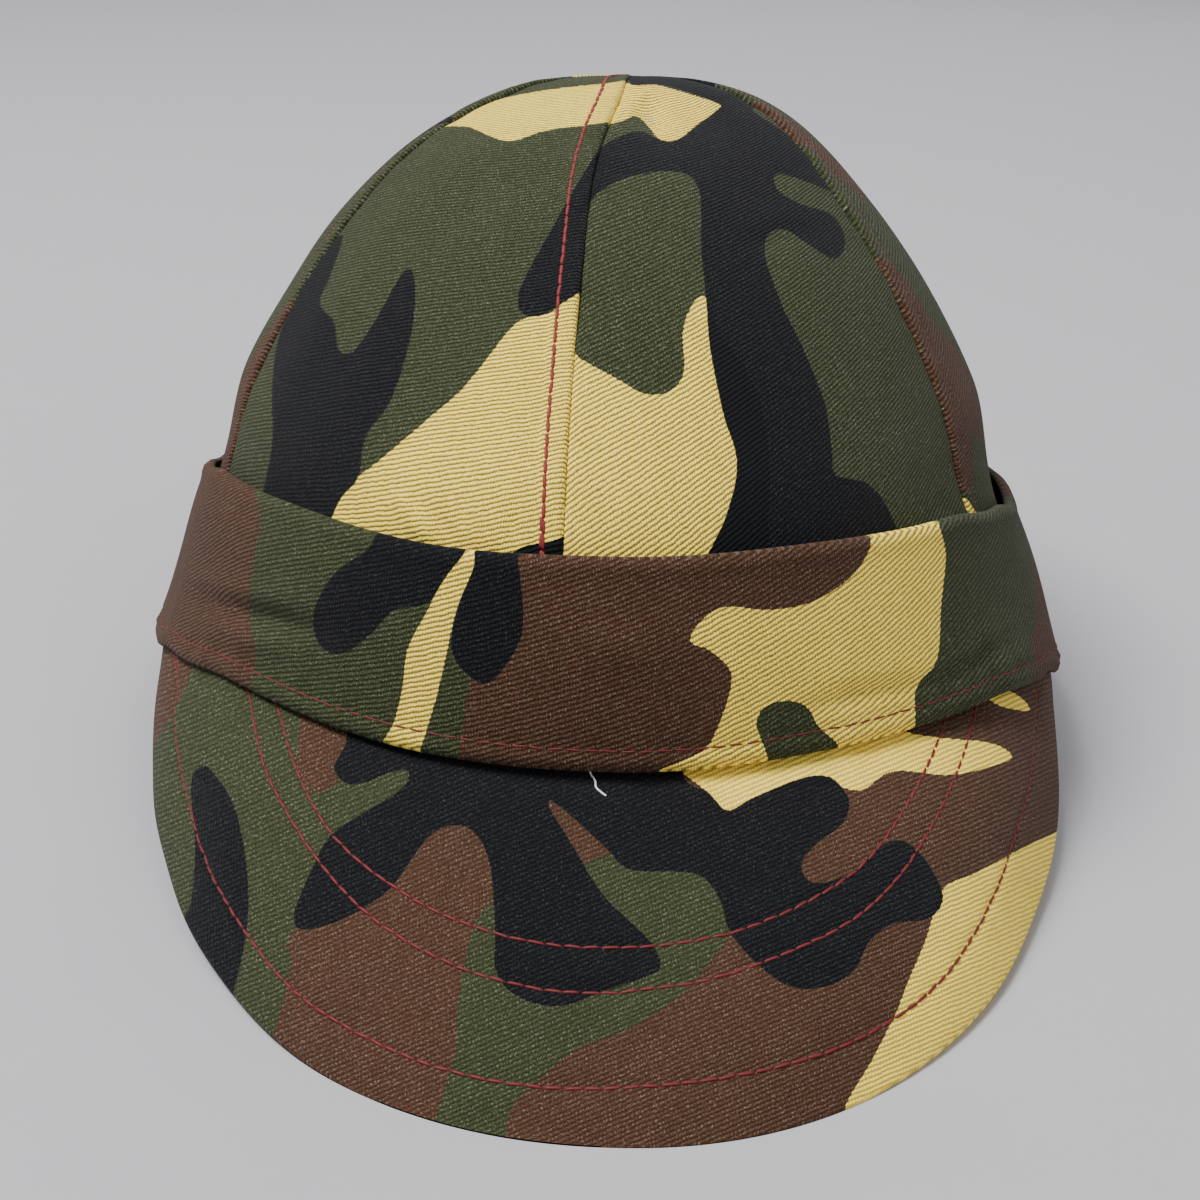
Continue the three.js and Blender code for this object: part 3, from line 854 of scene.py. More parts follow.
class Side(Enum):
    """Which seam of a panel is meant: the one that its angles start from, or the one they go to."""

    FROM = "from"
    TO = "to"


@dataclass(frozen=True)
class WeltStyle:
    """How the folded seam allowance shows beside a seam, in millimetres."""

    width: float = 4.0
    slope: float = 0.9
    rise: float = 0.45
    fold: float = 0.7
    fold_drop: float = 0.42
    stitch_from_seam: float = 3.4
    groove: float = 0.2
    groove_width: float = 0.55
    plain_fold: float = 0.7
    plain_dip: float = 0.2
    plain_dip_width: float = 1.6
    pucker: float = 0.16
    pucker_length: float = 7.0
    pucker_stretch: float = 0.25
    pucker_reach: float = 5.0

    def height(self, seam: np.ndarray, welted: bool) -> np.ndarray:
        """The rise of the cloth at distances from a seam, with or without a welt."""
        drop = self.fold_drop * edge_drop(seam, self.fold)
        if not welted:
            return -drop * self.plain_fold - self.plain_dip * bell(seam, self.plain_dip_width)
        welt = self.rise * (1 - smoothstep(seam, self.width, self.width + self.slope))
        return welt - drop - self.groove * bell(seam - self.stitch_from_seam, self.groove_width)


@dataclass
class CrownPanel:
    """One of the crown's six cloth panels."""

    name: str
    start: float
    welts: tuple[Side, ...]
    twill_turn: float
    stamps: tuple[Stamp, ...] = ()
    seen: tuple[SeenPatch, ...] = ()
    creases: tuple[Crease, ...] = ()
    span: float = 60.0
    spacing: float = 1.05
    # How far the columns beside a seam stand from it, close together where the welt rises and falls.
    seam_stops: tuple[float, ...] = (0, 0.25, 0.55, 1.0, 1.6, 2.3, 2.9, 3.4, 3.8, 4.3, 5.0)
    more_columns: int = 10
    measured_levels: int = 900
    full_seam_width: float = 26.0
    gap: float = 0.22
    apex_radius: float = 0.35
    apex_steepness: float = 1.3
    edge_bulge: float = 0.12
    unevenness: float = 0.22
    unevenness_length: float = 34.0
    welt: WeltStyle = field(default_factory=WeltStyle)

    def middle_angle(self, shape: CapShape) -> float:
        """The angle of the panel's middle line."""
        return self.start + shape.seam_turn + self.span / 2

    def levels(self, shape: CapShape) -> np.ndarray:
        """Evenly spaced levels from the panel's lower edge, under the band, to the apex."""
        slope = shape.profile(np.array([shape.last_level - 1.0]))[0, 1]
        last = shape.last_level - self.apex_radius / slope / self.apex_steepness
        dense = np.linspace(shape.band_hang / shape.band_height, last, self.measured_levels)
        run = row_lengths(shape.crown(np.full_like(dense, self.middle_angle(shape)), dense), 0)
        wanted = np.linspace(0, run[-1], int(run[-1] / self.spacing) + 1)
        return np.interp(wanted, run, dense)

    def build(self, shape: CapShape, camera: PhotoCamera, finish: bpy.types.Material) -> ClothGrid:
        """Makes the panel.

        Args:
            shape: the cap's sizes.
            camera: the photograph's view, which carries the print of the front panels.
            finish: the cloth.

        Returns:
            The net of the panel's outer face, for its stitching.
        """
        levels = self.levels(shape)
        centre = shape.crown(np.full_like(levels, self.middle_angle(shape)), levels)
        degree = np.radians(np.linalg.norm(centre[:, :2] - shape.crown_middle(levels), axis=1))
        width = self.span * degree - self.gap
        stops = np.array(self.seam_stops)
        inner_columns = int(width.max() / self.spacing) - 2 * len(stops) + self.more_columns
        squeeze = np.minimum(1, width / self.full_seam_width)
        edge = stops[:, None] * squeeze
        t = np.linspace(0, 1, inner_columns + 2)[1:-1, None]
        between = edge[-1] + (width - 2 * edge[-1]) * t
        seam = np.vstack([edge, between, (width - edge)[::-1]])
        angle = self.start + shape.seam_turn + (seam + self.gap / 2) / degree
        level = np.broadcast_to(levels, angle.shape)
        under_band = smoothstep(level, 0.9, 1.1)
        dents = relief(shape.crown_dents, angle, level) * shape.crown_cloth * under_band
        run = row_lengths(centre[None], 1)
        flat = np.stack([seam - width / 2, np.broadcast_to(run, seam.shape)], -1)
        outer = shape.off_crown(angle, level, dents)
        grid = ClothGrid(shape, camera, outer, shape.crown_normal(angle, level), flat)
        inner = shape.off_crown(angle, level, dents - shape.crown_cloth)
        grid.push(self.seam_relief(seam, width, run, squeeze) * under_band)
        for crease in self.creases:
            grid.push(crease.height(grid) * under_band)
        attributes = {key: (value, value) for key, value in self.printed(grid).attributes().items()}
        attributes["cloth"] = (twill(flat, self.twill_turn), twill(flat, self.twill_turn))
        attributes["reverse"] = (np.zeros(angle.shape), np.ones(angle.shape))
        name = self.name + "_cloth"
        piece = cloth_mesh(name, shape, grid.points, inner, False, self.edge_bulge, attributes)
        place_piece(piece, finish, "crown_cloth", self.name)
        return grid

    def seam_relief(
        self, seam: np.ndarray, width: np.ndarray, run: np.ndarray, squeeze: np.ndarray
    ) -> np.ndarray:
        """The welts, folds and puckers along both seams, in millimetres.

        Args:
            seam: each point's distance from the first seam.
            width: the panel's width at each row.
            run: the distance of each row up the panel.
            squeeze: how far each row's seam relief is narrowed near the apex.

        Returns:
            Heights off the smooth panel.
        """
        welt = self.welt
        total = np.zeros(seam.shape)
        up = np.broadcast_to(run, seam.shape)
        waves = SoftWaves(len(self.name) * 7 + int(self.start + 360), welt.pucker_length)
        for side, distance, shift in ((Side.FROM, seam, 0.0), (Side.TO, width - seam, 40.0)):
            distance = np.maximum(distance, 0)
            total += welt.height(distance / squeeze, side in self.welts) * squeeze
            ripple = waves.at(np.stack([distance * welt.pucker_stretch + shift, up], -1))
            total += welt.pucker * ripple * np.exp(-distance / welt.pucker_reach) * squeeze
        uneven = SoftWaves(int(self.start + 900), self.unevenness_length).at(np.stack([seam, up], -1))
        return total + self.unevenness * uneven * squeeze

    def printed(self, grid: ClothGrid) -> PrintField:
        """The print of the panel: green cloth, stamps over its cut and patches read in the photograph."""
        print_field = PrintField(grid.points.shape[:2], Ink.GREEN)
        print_field.stamp(self.stamps, grid.flat)
        print_field.print_seen(self.seen, grid.pixels())
        return print_field

    def seam_spots(
        self, grid: ClothGrid, side: Side, distance: float, low: float, high: float
    ) -> np.ndarray:
        """Spots at a distance from one seam, for a row of stitches.

        Args:
            grid: the panel's net.
            side: which seam.
            distance: how far from the seam, in millimetres.
            low, high: where the row starts and stops, in millimetres up the panel.

        Returns:
            Column and row of each spot.
        """
        spots = []
        for row in range(grid.flat.shape[1]):
            up = grid.flat[0, row, 1]
            if not low <= up <= high:
                continue
            across = grid.flat[:, row, 0]
            reach = min(distance, (across[-1] - across[0]) * 0.28)
            wanted = across[0] + reach if side is Side.FROM else across[-1] - reach
            spots.append((np.interp(wanted, across, np.arange(len(across))), row))
        return np.array(spots)


def twill(flat: np.ndarray, turn: float) -> np.ndarray:
    """Twill coordinates: across the ribs, along them, and across the warp, in millimetres.

    Args:
        flat: places over the cut cloth.
        turn: how far the ribs rise to the right, in degrees.

    Returns:
        The three coordinates, last axis 3.
    """
    c, s = math.cos(math.radians(turn)), math.sin(math.radians(turn))
    u, v = flat[..., 0], flat[..., 1]
    return np.stack([v * c - u * s, u * c + v * s, u], -1)


@dataclass
class TurnedBand:
    """The doubled cloth band turned up round the crown."""

    stamps: tuple[Stamp, ...]
    seen: tuple[SeenPatch, ...]
    creases: tuple[Crease, ...] = ()
    spacing: float = 1.0
    seen_angle: float = 78.0
    stitch_up: float = 2.6
    twill_turn: float = 20.0
    edge_round: float = 0.35
    edge_round_width: float = 0.8
    roll: float = 0.35
    roll_from_edge: float = 1.3
    roll_width: float = 1.2
    groove: float = 0.35
    groove_width: float = 0.7
    pucker: float = 0.22
    pucker_length: float = 9.0
    pucker_stretch: float = 0.3
    pucker_reach: float = 4.0
    unevenness: float = 0.4
    unevenness_length: float = 55.0
    join_dip: float = 0.7
    join_dip_width: float = 0.8
    join_ridge: float = 0.25
    join_ridge_from: float = 2.2
    join_ridge_width: float = 1.6
    edge_bulge: float = 0.5

    def build(self, shape: CapShape, camera: PhotoCamera, finish: bpy.types.Material) -> ClothGrid:
        """Makes the band.

        Args:
            shape: the cap's sizes.
            camera: the photograph's view, which carries the print of the front.
            finish: the cloth.

        Returns:
            The net of the band's outer face, for its stitching.
        """
        girth = math.pi * (shape.rim_half_width + shape.rim_half_length)
        columns, rows = int(girth / self.spacing), int(shape.band_height / self.spacing) + 3
        angle = (np.arange(columns) / columns * 360 - 180)[:, None]
        share = np.linspace(0, 1, rows)[None]
        angle, share = np.broadcast_arrays(angle, share)
        level = 0.01 + 0.98 * share
        clear = shape.band_low_clearance + (shape.band_top_clearance - shape.band_low_clearance) * share
        puff = relief(shape.band_puffs, angle, level) * shape.band_cloth
        outward = shape.crown_normal(angle, level)
        points = shape.off_crown(angle, level, clear + puff + shape.band_cloth)
        inner = shape.off_crown(angle, level, clear + puff)
        run = row_lengths(np.vstack([points, points[:1]]), 0)[:-1, :1]
        up = row_lengths(points, 1)
        flat = np.stack([np.broadcast_to(run - run[columns // 2], up.shape), up], -1)
        grid = ClothGrid(shape, camera, points, outward, flat)
        grid.push(self.sewn_relief(run, up, flat) + self.slow_waves(flat) * np.sin(np.pi * share))
        for crease in self.creases:
            grid.push(crease.height(grid))
        print_field = self.printed(grid, angle)
        attributes = {key: (value, value) for key, value in print_field.attributes().items()}
        attributes["cloth"] = (twill(flat, self.twill_turn), twill(flat, self.twill_turn))
        attributes["reverse"] = (np.zeros(up.shape), np.zeros(up.shape))
        piece = cloth_mesh("band_cloth", shape, grid.points, inner, True, self.edge_bulge, attributes)
        place_piece(piece, finish, "band_cloth", "band")
        return grid

    def slow_waves(self, flat: np.ndarray) -> np.ndarray:
        """The wide soft waves round the band, in millimetres."""
        return self.unevenness * SoftWaves(77, self.unevenness_length).at(flat)

    def sewn_relief(self, run: np.ndarray, up: np.ndarray, flat: np.ndarray) -> np.ndarray:
        """The rounded edges and folds, the stitched groove with its puckers and the join at the back.

        Args:
            run: the distance of each column round the band.
            up: each point's distance from the lower edge.
            flat: places over the cut cloth.

        Returns:
            Heights off the smooth band.
        """
        from_edge = np.minimum(up, up[:, -1:] - up)
        from_stitches = up - self.stitch_up
        from_join = np.minimum(run - run[0], run[-1] + self.spacing - run)
        rounding = -self.edge_round * edge_drop(from_edge, self.edge_round_width)
        fold_roll = self.roll * bell(from_edge - self.roll_from_edge, self.roll_width)
        groove = -self.groove * bell(from_stitches, self.groove_width)
        waves = SoftWaves(31, self.pucker_length)
        ripple = waves.at(np.stack([flat[..., 0], up * self.pucker_stretch], -1))
        pucker = self.pucker * ripple * np.exp(-np.abs(from_stitches) / self.pucker_reach)
        dip = -self.join_dip * bell(from_join, self.join_dip_width)
        ridge = self.join_ridge * bell(from_join - self.join_ridge_from, self.join_ridge_width)
        return rounding + fold_roll + groove + pucker + dip + ridge

    def stitch_spots(self, grid: ClothGrid) -> np.ndarray:
        """The spots of the row of stitches round the band, as columns and rows of its net."""
        columns, rows = (np.arange(count) for count in grid.flat.shape[:2])
        at = np.interp(self.stitch_up, grid.flat[0, :, 1], rows)
        return np.stack([columns, np.full(len(columns), at)], -1)

    def printed(self, grid: ClothGrid, angle: np.ndarray) -> PrintField:
        """The print of the band: brown cloth, stamps round the back and patches seen in front."""
        print_field = PrintField(angle.shape, Ink.BROWN)
        print_field.stamp(self.stamps, grid.flat)
        hidden = (np.abs(angle) > self.seen_angle) * FAR * 2
        print_field.print_seen(self.seen, grid.pixels(), hidden)
        return print_field


@dataclass
class SoftBill:
    """The soft bill: layers of stitched cloth in one crescent."""

    over_seen: tuple[SeenPatch, ...]
    under_stamps: tuple[Stamp, ...]
    creases: tuple[Crease, ...] = ()
    columns: int = 330
    rows: int = 62
    root_rows: int = 4
    root_gap: float = 0.3
    bend_share: float = 0.19
    most_roll: float = 0.45
    edge_bulge: float = 0.42
    edge_round: float = 0.5
    edge_round_width: float = 1.6
    furrow: float = 0.3
    furrow_width: float = 0.8
    pucker: float = 0.16
    pucker_length: float = 8.0
    pucker_reach: float = 3.5
    unevenness: float = 0.35
    unevenness_length: float = 42.0
    end_columns: int = 4
    twill_turn: float = 29.0
    rib_turn: float = 23.0
    outer_row: tuple[Pair, ...] = (
        (178, 660), (175, 697), (175, 730), (180, 770), (197, 838), (212, 876), (240, 926), (281, 979),
        (333, 1019), (420, 1061), (520, 1084), (627, 1087), (733, 1076), (833, 1050), (907, 1010),
        (953, 967), (993, 903), (1013, 847), (1031, 774), (1037, 690),
    )
    inner_row: tuple[Pair, ...] = (
        (272, 690), (286, 740), (301, 781), (326, 826), (364, 865), (432, 909), (520, 938), (614, 946),
        (709, 937), (784, 912), (856, 870), (899, 818), (934, 752), (948, 712), (952, 700),
    )
    second_row: tuple[Pair, ...] = (
        (246, 682), (254, 727), (270, 781), (317, 859), (379, 923), (464, 968), (560, 990), (650, 988),
        (731, 973), (834, 931), (893, 884), (935, 821), (962, 759), (977, 708), (978, 696),
    )

    def row_reach(self, grid: ClothGrid, pixels: Sequence[Pair]) -> tuple[np.ndarray, np.ndarray]:
        """A row of stitches as the net's row at each of its columns.

        Args:
            grid: the bill's net.
            pixels: the row's points in the photograph.

        Returns:
            The columns that the row spans and its net row at each.
        """
        spots = grid.under(smooth_line(pixels, False, 3))
        order = np.argsort(spots[:, 0])
        columns = np.arange(math.ceil(spots[:, 0].min()), int(spots[:, 0].max()) + 1)
        rows = np.interp(columns, spots[order, 0], spots[order, 1])
        return columns, np.maximum(rows, self.root_rows)

    def build(
        self, shape: CapShape, camera: PhotoCamera, finish: bpy.types.Material
    ) -> tuple[ClothGrid, list[np.ndarray]]:
        """Makes the bill.

        Args:
            shape: the cap's sizes.
            camera: the photograph's view, which carries the print of the top.
            finish: the cloth.

        Returns:
            The net of the bill's upper face, and its rows of stitches as spots of the net.
        """
        share = np.linspace(-1, 1, self.columns)[:, None]
        angle = share * shape.bill_root_angle
        root = (shape.band_hang - self.root_gap) / shape.band_height
        bend = shape.crown(angle[:, 0], np.full(self.columns, shape.bend_level))
        length = np.linalg.norm(shape.bill_edge(share[:, 0]) - bend, axis=-1)[:, None]
        roll = np.minimum(self.most_roll, shape.bill_cloth / 2 / length)
        reach = np.linspace(0, 1, self.rows)[None] * (1 - roll)
        level = np.linspace(root, shape.bend_level, self.root_rows + 1)[None, :-1] + angle * 0
        wide = np.broadcast_to(angle, level.shape)
        tucked = shape.off_crown(wide, level, np.zeros(level.shape))
        tucked_under = shape.off_crown(wide, level, np.full(level.shape, -shape.bill_cloth))
        share_net = np.broadcast_to(share, reach.shape)
        skin = shape.bill(share_net, reach)
        normal = shape.bill_normal(share_net, reach)
        mix = smoothstep(reach / (1 - roll), 0, self.bend_share)[..., None]
        side = shape.crown_normal(angle, np.zeros(angle.shape))
        down = unit(-normal * mix - side * (1 - mix))
        points = np.concatenate([tucked, skin], 1)
        outward = np.concatenate([shape.crown_normal(wide, level), -down], 1)
        under = np.concatenate([tucked_under, skin + down * shape.bill_cloth], 1)
        run = row_lengths(points, 1)
        ahead = unit(shape.bill_edge(share[:, 0])[:, :2] - bend[:, :2])
        out = (run - run[:, self.root_rows, None])[..., None]
        flat = bend[:, None, :2] + ahead[:, None] * out + np.array([0, shape.rim_half_length])
        grid = ClothGrid(shape, camera, points, outward, flat)
        to_edge = run[:, -1:] - run + shape.bill_cloth / 2
        rows = [self.edge_spots(grid, to_edge)]
        for pixels in (self.inner_row, self.second_row):
            rows.append(np.stack(self.row_reach(grid, pixels), -1))
        grid.push(self.quilting(run, to_edge, rows, flat))
        for crease in self.creases:
            grid.push(crease.height(grid))
        seen = grid.pixels()
        top = PrintField(run.shape, Ink.BROWN)
        top.print_seen(self.over_seen, seen)
        below = PrintField(run.shape, Ink.GREEN)
        below.stamp(self.under_stamps, flat)
        over, beneath = top.attributes(), below.attributes()
        attributes = {key: (over[key], beneath[key]) for key in over}
        ribs = twill(flat, self.twill_turn)
        ribs[..., 0] = twill(seen * np.array([1, -1]) / Patches.PIXELS_PER_MM, self.rib_turn)[..., 0]
        attributes["cloth"] = (ribs, twill(flat, -self.twill_turn))
        attributes["reverse"] = (np.zeros(run.shape), np.zeros(run.shape))
        bulge = shape.bill_cloth * self.edge_bulge
        piece = cloth_mesh("bill_cloth", shape, grid.points, under, False, bulge, attributes)
        place_piece(piece, finish, "bill_cloth", "bill")
        return grid, rows

    def edge_spots(self, grid: ClothGrid, to_edge: np.ndarray) -> np.ndarray:
        """The spots of the outer row of stitches, which keeps on to both ends of the bill's edge.

        Args:
            grid: the bill's net.
            to_edge: each point's distance to the bill's edge.

        Returns:
            Column and row of each spot.
        """
        columns, at = self.row_reach(grid, self.outer_row)
        number = np.arange(to_edge.shape[1])
        inset = [np.interp(row, number, to_edge[column]) for column, row in zip(columns, at)]
        spots = []
        for column in range(self.end_columns, self.columns - self.end_columns):
            distance = to_edge[column]
            wanted = np.interp(column, columns, inset)
            if distance[self.root_rows] > wanted:
                row = np.interp(-wanted, -distance, number)
                spots.append((column, max(row, self.root_rows)))
        return np.array(spots)

    def quilting(self, run: np.ndarray, to_edge: np.ndarray, rows: list, flat: np.ndarray) -> np.ndarray:
        """The furrows along the stitched rows, the rounded edge and the soft unevenness between.

        Args:
            run: each point's distance along its column.
            to_edge: each point's distance to the bill's edge.
            rows: the rows of stitches as spots.
            flat: places over the cut cloth.

        Returns:
            Heights off the smooth bill.
        """
        total = -self.edge_round * edge_drop(to_edge, self.edge_round_width)
        waves = SoftWaves(53, self.pucker_length).at(flat)
        number = np.arange(run.shape[1])
        for spots in rows:
            columns = spots[:, 0].astype(int)
            at = np.array([np.interp(row, number, run[c]) for c, row in zip(columns, spots[:, 1])])
            gap = run[columns] - at[:, None]
            furrow = -self.furrow * bell(gap, self.furrow_width)
            pucker = self.pucker * waves[columns] * np.exp(-np.abs(gap) / self.pucker_reach)
            total[columns] += furrow + pucker
        uneven = SoftWaves(91, self.unevenness_length).at(flat)
        return total + self.unevenness * uneven * smoothstep(run, 2, 14)


def across_thread(line: np.ndarray, up: np.ndarray) -> np.ndarray:
    """Directions along the cloth and across a thread, from its middle line and the cloth's outward."""
    return unit(np.cross(unit(np.gradient(line, axis=0)), up))


def thread_tube(
    line: np.ndarray, aside: np.ndarray, up: np.ndarray, radius: np.ndarray, sides: int, first: int
) -> tuple[np.ndarray, list[list[int]]]:
    """A closed tube of thread.

    Args:
        line: points along its middle.
        aside, up: directions across it at each point, along the cloth and away from it.
        radius: its radii in these two directions at each point, last axis 2.
        sides: how many sides it has.
        first: the number of its first point.

    Returns:
        Its points, and its faces as numbers of points.
    """
    turn = np.linspace(0, 2 * math.pi, sides, endpoint=False)[None, :, None]
    wide, high = radius[:, None, :1], radius[:, None, 1:]
    tube = line[:, None] + aside[:, None] * np.cos(turn) * wide + up[:, None] * np.sin(turn) * high
    number = first + np.arange(len(line) * sides).reshape(len(line), sides)
    near, far = number[:-1], number[1:]
    quads = np.stack([near, np.roll(near, -1, 1), np.roll(far, -1, 1), far], -1).reshape(-1, 4)
    return tube.reshape(-1, 3), quads.tolist() + [number[0, ::-1].tolist(), number[-1].tolist()]


@dataclass(frozen=True)
class StitchStyle:
    """The size of a stitch in millimetres, and how uneven stitches are, as shares of their length."""

    length: float = 2.5
    gap: float = 0.06
    thickness: float = 0.5
    height: float = 0.8
    end_thickness: float = 0.75
    stand: float = 0.05
    sink: float = 0.1
    start_scatter: float = 0.03
    shortest: float = 0.92
    longest: float = 1.05
    lean: float = 0.09
    sides: int = 6
    rings: int = 6


class Stitching:
    """Rows of stitches in one thread, sewn as one piece."""

    def __init__(self, name: str, style: StitchStyle) -> None:
        """Starts an empty piece of stitching."""
        self.name = name
        self.style = style
        self.points: list[np.ndarray] = []
        self.faces: list[list[int]] = []
        self.count = 0

    def sew(self, grid: ClothGrid, spots: np.ndarray, seed: int = 1) -> None:
        """Sews one row along spots of a cloth net.

        Args:
            grid: the net of the cloth.
            spots: column and row of points of the row, in order.
            seed: seed of the small unevenness of the stitches.
        """
        style = self.style
        place = grid.at(spots, grid.points)
        lift = unit(grid.at(spots, grid.outward))
        run = row_lengths(place, 0)
        random = np.random.default_rng(seed)
        number = int(run[-1] / (style.length + style.gap))
        for k in range(number):
            start = (k + random.uniform(-style.start_scatter, style.start_scatter)) * run[-1] / number
            length = style.length * random.uniform(style.shortest, style.longest)
            self.stitch(run, place, lift, start, length, random.uniform(-style.lean, style.lean))

    def stitch(
        self,
        run: np.ndarray,
        place: np.ndarray,
        lift: np.ndarray,
        start: float,
        length: float,
        lean: float,
    ) -> None:
        """Adds one stitch: a short thread that dips into the cloth at both ends.

        Args:
            run: distance of each point of the row.
            place: the row's points.
            lift: the cloth's outward direction at each.
            start: where the stitch starts along the row.
            length: its length.
            lean: how far it leans out of line, as a share of its length.
        """
        style = self.style
        share = np.linspace(0, 1, style.rings)
        at = start + share * length
        line = np.stack([np.interp(at, run, place[:, k]) for k in range(3)], -1)
        up = unit(np.stack([np.interp(at, run, lift[:, k]) for k in range(3)], -1))
        aside = across_thread(line, up)
        arch = 1 - np.abs(share * 2 - 1) ** 4
        rise = (style.sink + style.stand) * arch - style.sink
        line = line + up * rise[:, None] + aside * (share - 0.5)[:, None] * lean * length
        radius = style.thickness / 2 * (style.end_thickness + (1 - style.end_thickness) * arch)
        radii = np.stack([radius, radius * style.height], -1)
        points, faces = thread_tube(line, aside, up, radii, style.sides, self.count)
        self.points.append(points)
        self.faces.extend(faces)
        self.count += len(points)

    def build(self, shape: CapShape, finish: bpy.types.Material) -> bpy.types.Object:
        """Makes the piece from all of its rows.

        Args:
            shape: the cap's sizes, which lay the piece at rest.
            finish: the thread.

        Returns:
            The mesh object.
        """
        piece = mesh_object(self.name, shape.rest(np.vstack(self.points)) * METRES, self.faces)
        place_piece(piece, finish, "")
        return piece


@dataclass(frozen=True)
class LooseThread:
    """A short end of thread lying on the bill, along a line of the photograph."""

    line: tuple[Pair, ...] = ((589, 770), (595, 780), (596, 787), (601, 792), (606, 796))
    thickness: float = 0.3
    lift: float = 0.2
    sides: int = 6

    def build(self, grid: ClothGrid, finish: bpy.types.Material) -> bpy.types.Object:
        """Lays the thread on the bill.

        Args:
            grid: the bill's net.
            finish: the thread's material.

        Returns:
            The mesh object.
        """
        spots = smooth_line(grid.under(np.array(self.line, float)), False, 5)
        up = unit(grid.at(spots, grid.outward))
        line = grid.at(spots, grid.points) + up * self.lift
        radii = np.full((len(line), 2), self.thickness / 2)
        points, faces = thread_tube(line, across_thread(line, up), up, radii, self.sides, 0)
        piece = mesh_object("loose_thread", grid.shape.rest(points) * METRES, faces)
        place_piece(piece, finish, "")
        return piece


class Graph:
    """The nodes of one material."""

    def __init__(self, name: str) -> None:
        """Starts a material with its surface shader and output."""
        self.material = bpy.data.materials.new(name)
        self.material.use_nodes = True
        self.tree = self.material.node_tree
        self.tree.nodes.clear()
        self.shader = self.tree.nodes.new("ShaderNodeBsdfPrincipled")
        output = self.tree.nodes.new("ShaderNodeOutputMaterial")
        self.tree.links.new(self.shader.outputs["BSDF"], output.inputs["Surface"])

    def node(
        self, kind: str, settings: dict | None = None, sockets: dict | None = None
    ) -> bpy.types.Node:
        """Adds a node.

        Args:
            kind: its type.
            settings: its properties, which are set first.
            sockets: values or links of its inputs, by name or number.

        Returns:
            The node.
        """
        node = self.tree.nodes.new(kind)
        for key, value in (settings or {}).items():
            setattr(node, key, value)
        for key, value in (sockets or {}).items():
            if isinstance(value, Value):
                self.tree.links.new(value.socket, node.inputs[key])
            else:
                node.inputs[key].default_value = value
        return node

    def attribute(self, name: str, output: str = "Fac") -> "Value":
        """A value kept on the points of the mesh."""
        node = self.node("ShaderNodeAttribute", {"attribute_name": name})
        return Value(self, node.outputs[output])

    def plain(self, colour: Colour) -> "Value":
        """One colour all over."""
        node = self.node("ShaderNodeRGB")
        node.outputs[0].default_value = colour
        return Value(self, node.outputs[0])

    def place(self) -> "Value":
        """Places in the object, in metres."""
        return Value(self, self.node("ShaderNodeTexCoord").outputs["Object"])

    def bump(self, height: "Value", distance: float, strength: float) -> "Value":
        """Directions of a surface raised by a height of 0 to 1, over a distance in metres."""
        sockets = {"Strength": strength, "Distance": distance, "Height": height}
        return Value(self, self.node("ShaderNodeBump", {}, sockets).outputs[0])

    def noise(self, place: "Value", scale: float, detail: float) -> "Value":
        """Smooth noise between 0 and 1."""
        sockets = {"Vector": place, "Scale": scale, "Detail": detail}
        return Value(self, self.node("ShaderNodeTexNoise", {}, sockets).outputs["Fac"])

    def mix(self, share: "Value", first: object, second: object) -> "Value":
        """A colour between two colours."""
        settings = {"data_type": "RGBA", "clamp_factor": True}
        node = self.node("ShaderNodeMix", settings, {0: share, 6: first, 7: second})
        return Value(self, node.outputs[2])

    def scaled(self, colour: "Value", amount: "Value") -> "Value":
        """A colour made lighter or darker by an amount."""
        node = self.node("ShaderNodeVectorMath", {"operation": "SCALE"}, {0: colour, "Scale": amount})
        return Value(self, node.outputs[0])

    def surface(self, sockets: dict) -> bpy.types.Material:
        """Sets the surface shader's inputs.

        Args:
            sockets: values or links, by input name.

        Returns:
            The finished material.
        """
        for key, value in sockets.items():
            if isinstance(value, Value):
                self.tree.links.new(value.socket, self.shader.inputs[key])
            else:
                self.shader.inputs[key].default_value = value
        return self.material


class Value:
    """A number or colour in a material that adds nodes as it is used in an expression."""

    def __init__(self, graph: Graph, socket: bpy.types.NodeSocket) -> None:
        """Keeps the socket that holds the value."""
        self.graph = graph
        self.socket = socket

    def math(self, operation: str, *others: object, first: object = None) -> "Value":
        """A math node on this value.

        Args:
            operation: the node's operation.
            others: the other numbers or values.
            first: what comes before this value, where the order is turned round.

        Returns:
            The result.
        """
        terms = [self, *others] if first is None else [first, self]
        node = self.graph.node("ShaderNodeMath", {"operation": operation}, dict(enumerate(terms)))
        return Value(self.graph, node.outputs[0])

    def __add__(self, other: object) -> "Value":
        """The sum."""
        return self.math("ADD", other)

    __radd__ = __add__

    def __mul__(self, other: object) -> "Value":
        """The product."""
        return self.math("MULTIPLY", other)

    __rmul__ = __mul__

    def __sub__(self, other: object) -> "Value":
        """The difference."""
        return self.math("SUBTRACT", other)

    def __rsub__(self, other: object) -> "Value":
        """The difference the other way round."""
        return self.math("SUBTRACT", first=other)

    def clamped(self) -> "Value":
        """The value held between 0 and 1."""
        return self.math("MINIMUM", 1.0).math("MAXIMUM", 0.0)

    def wave(self, period: float) -> "Value":
        """A wave between 0 and 1 along this value."""
        return (self * (2 * math.pi / period)).math("SINE") * 0.5 + 0.5


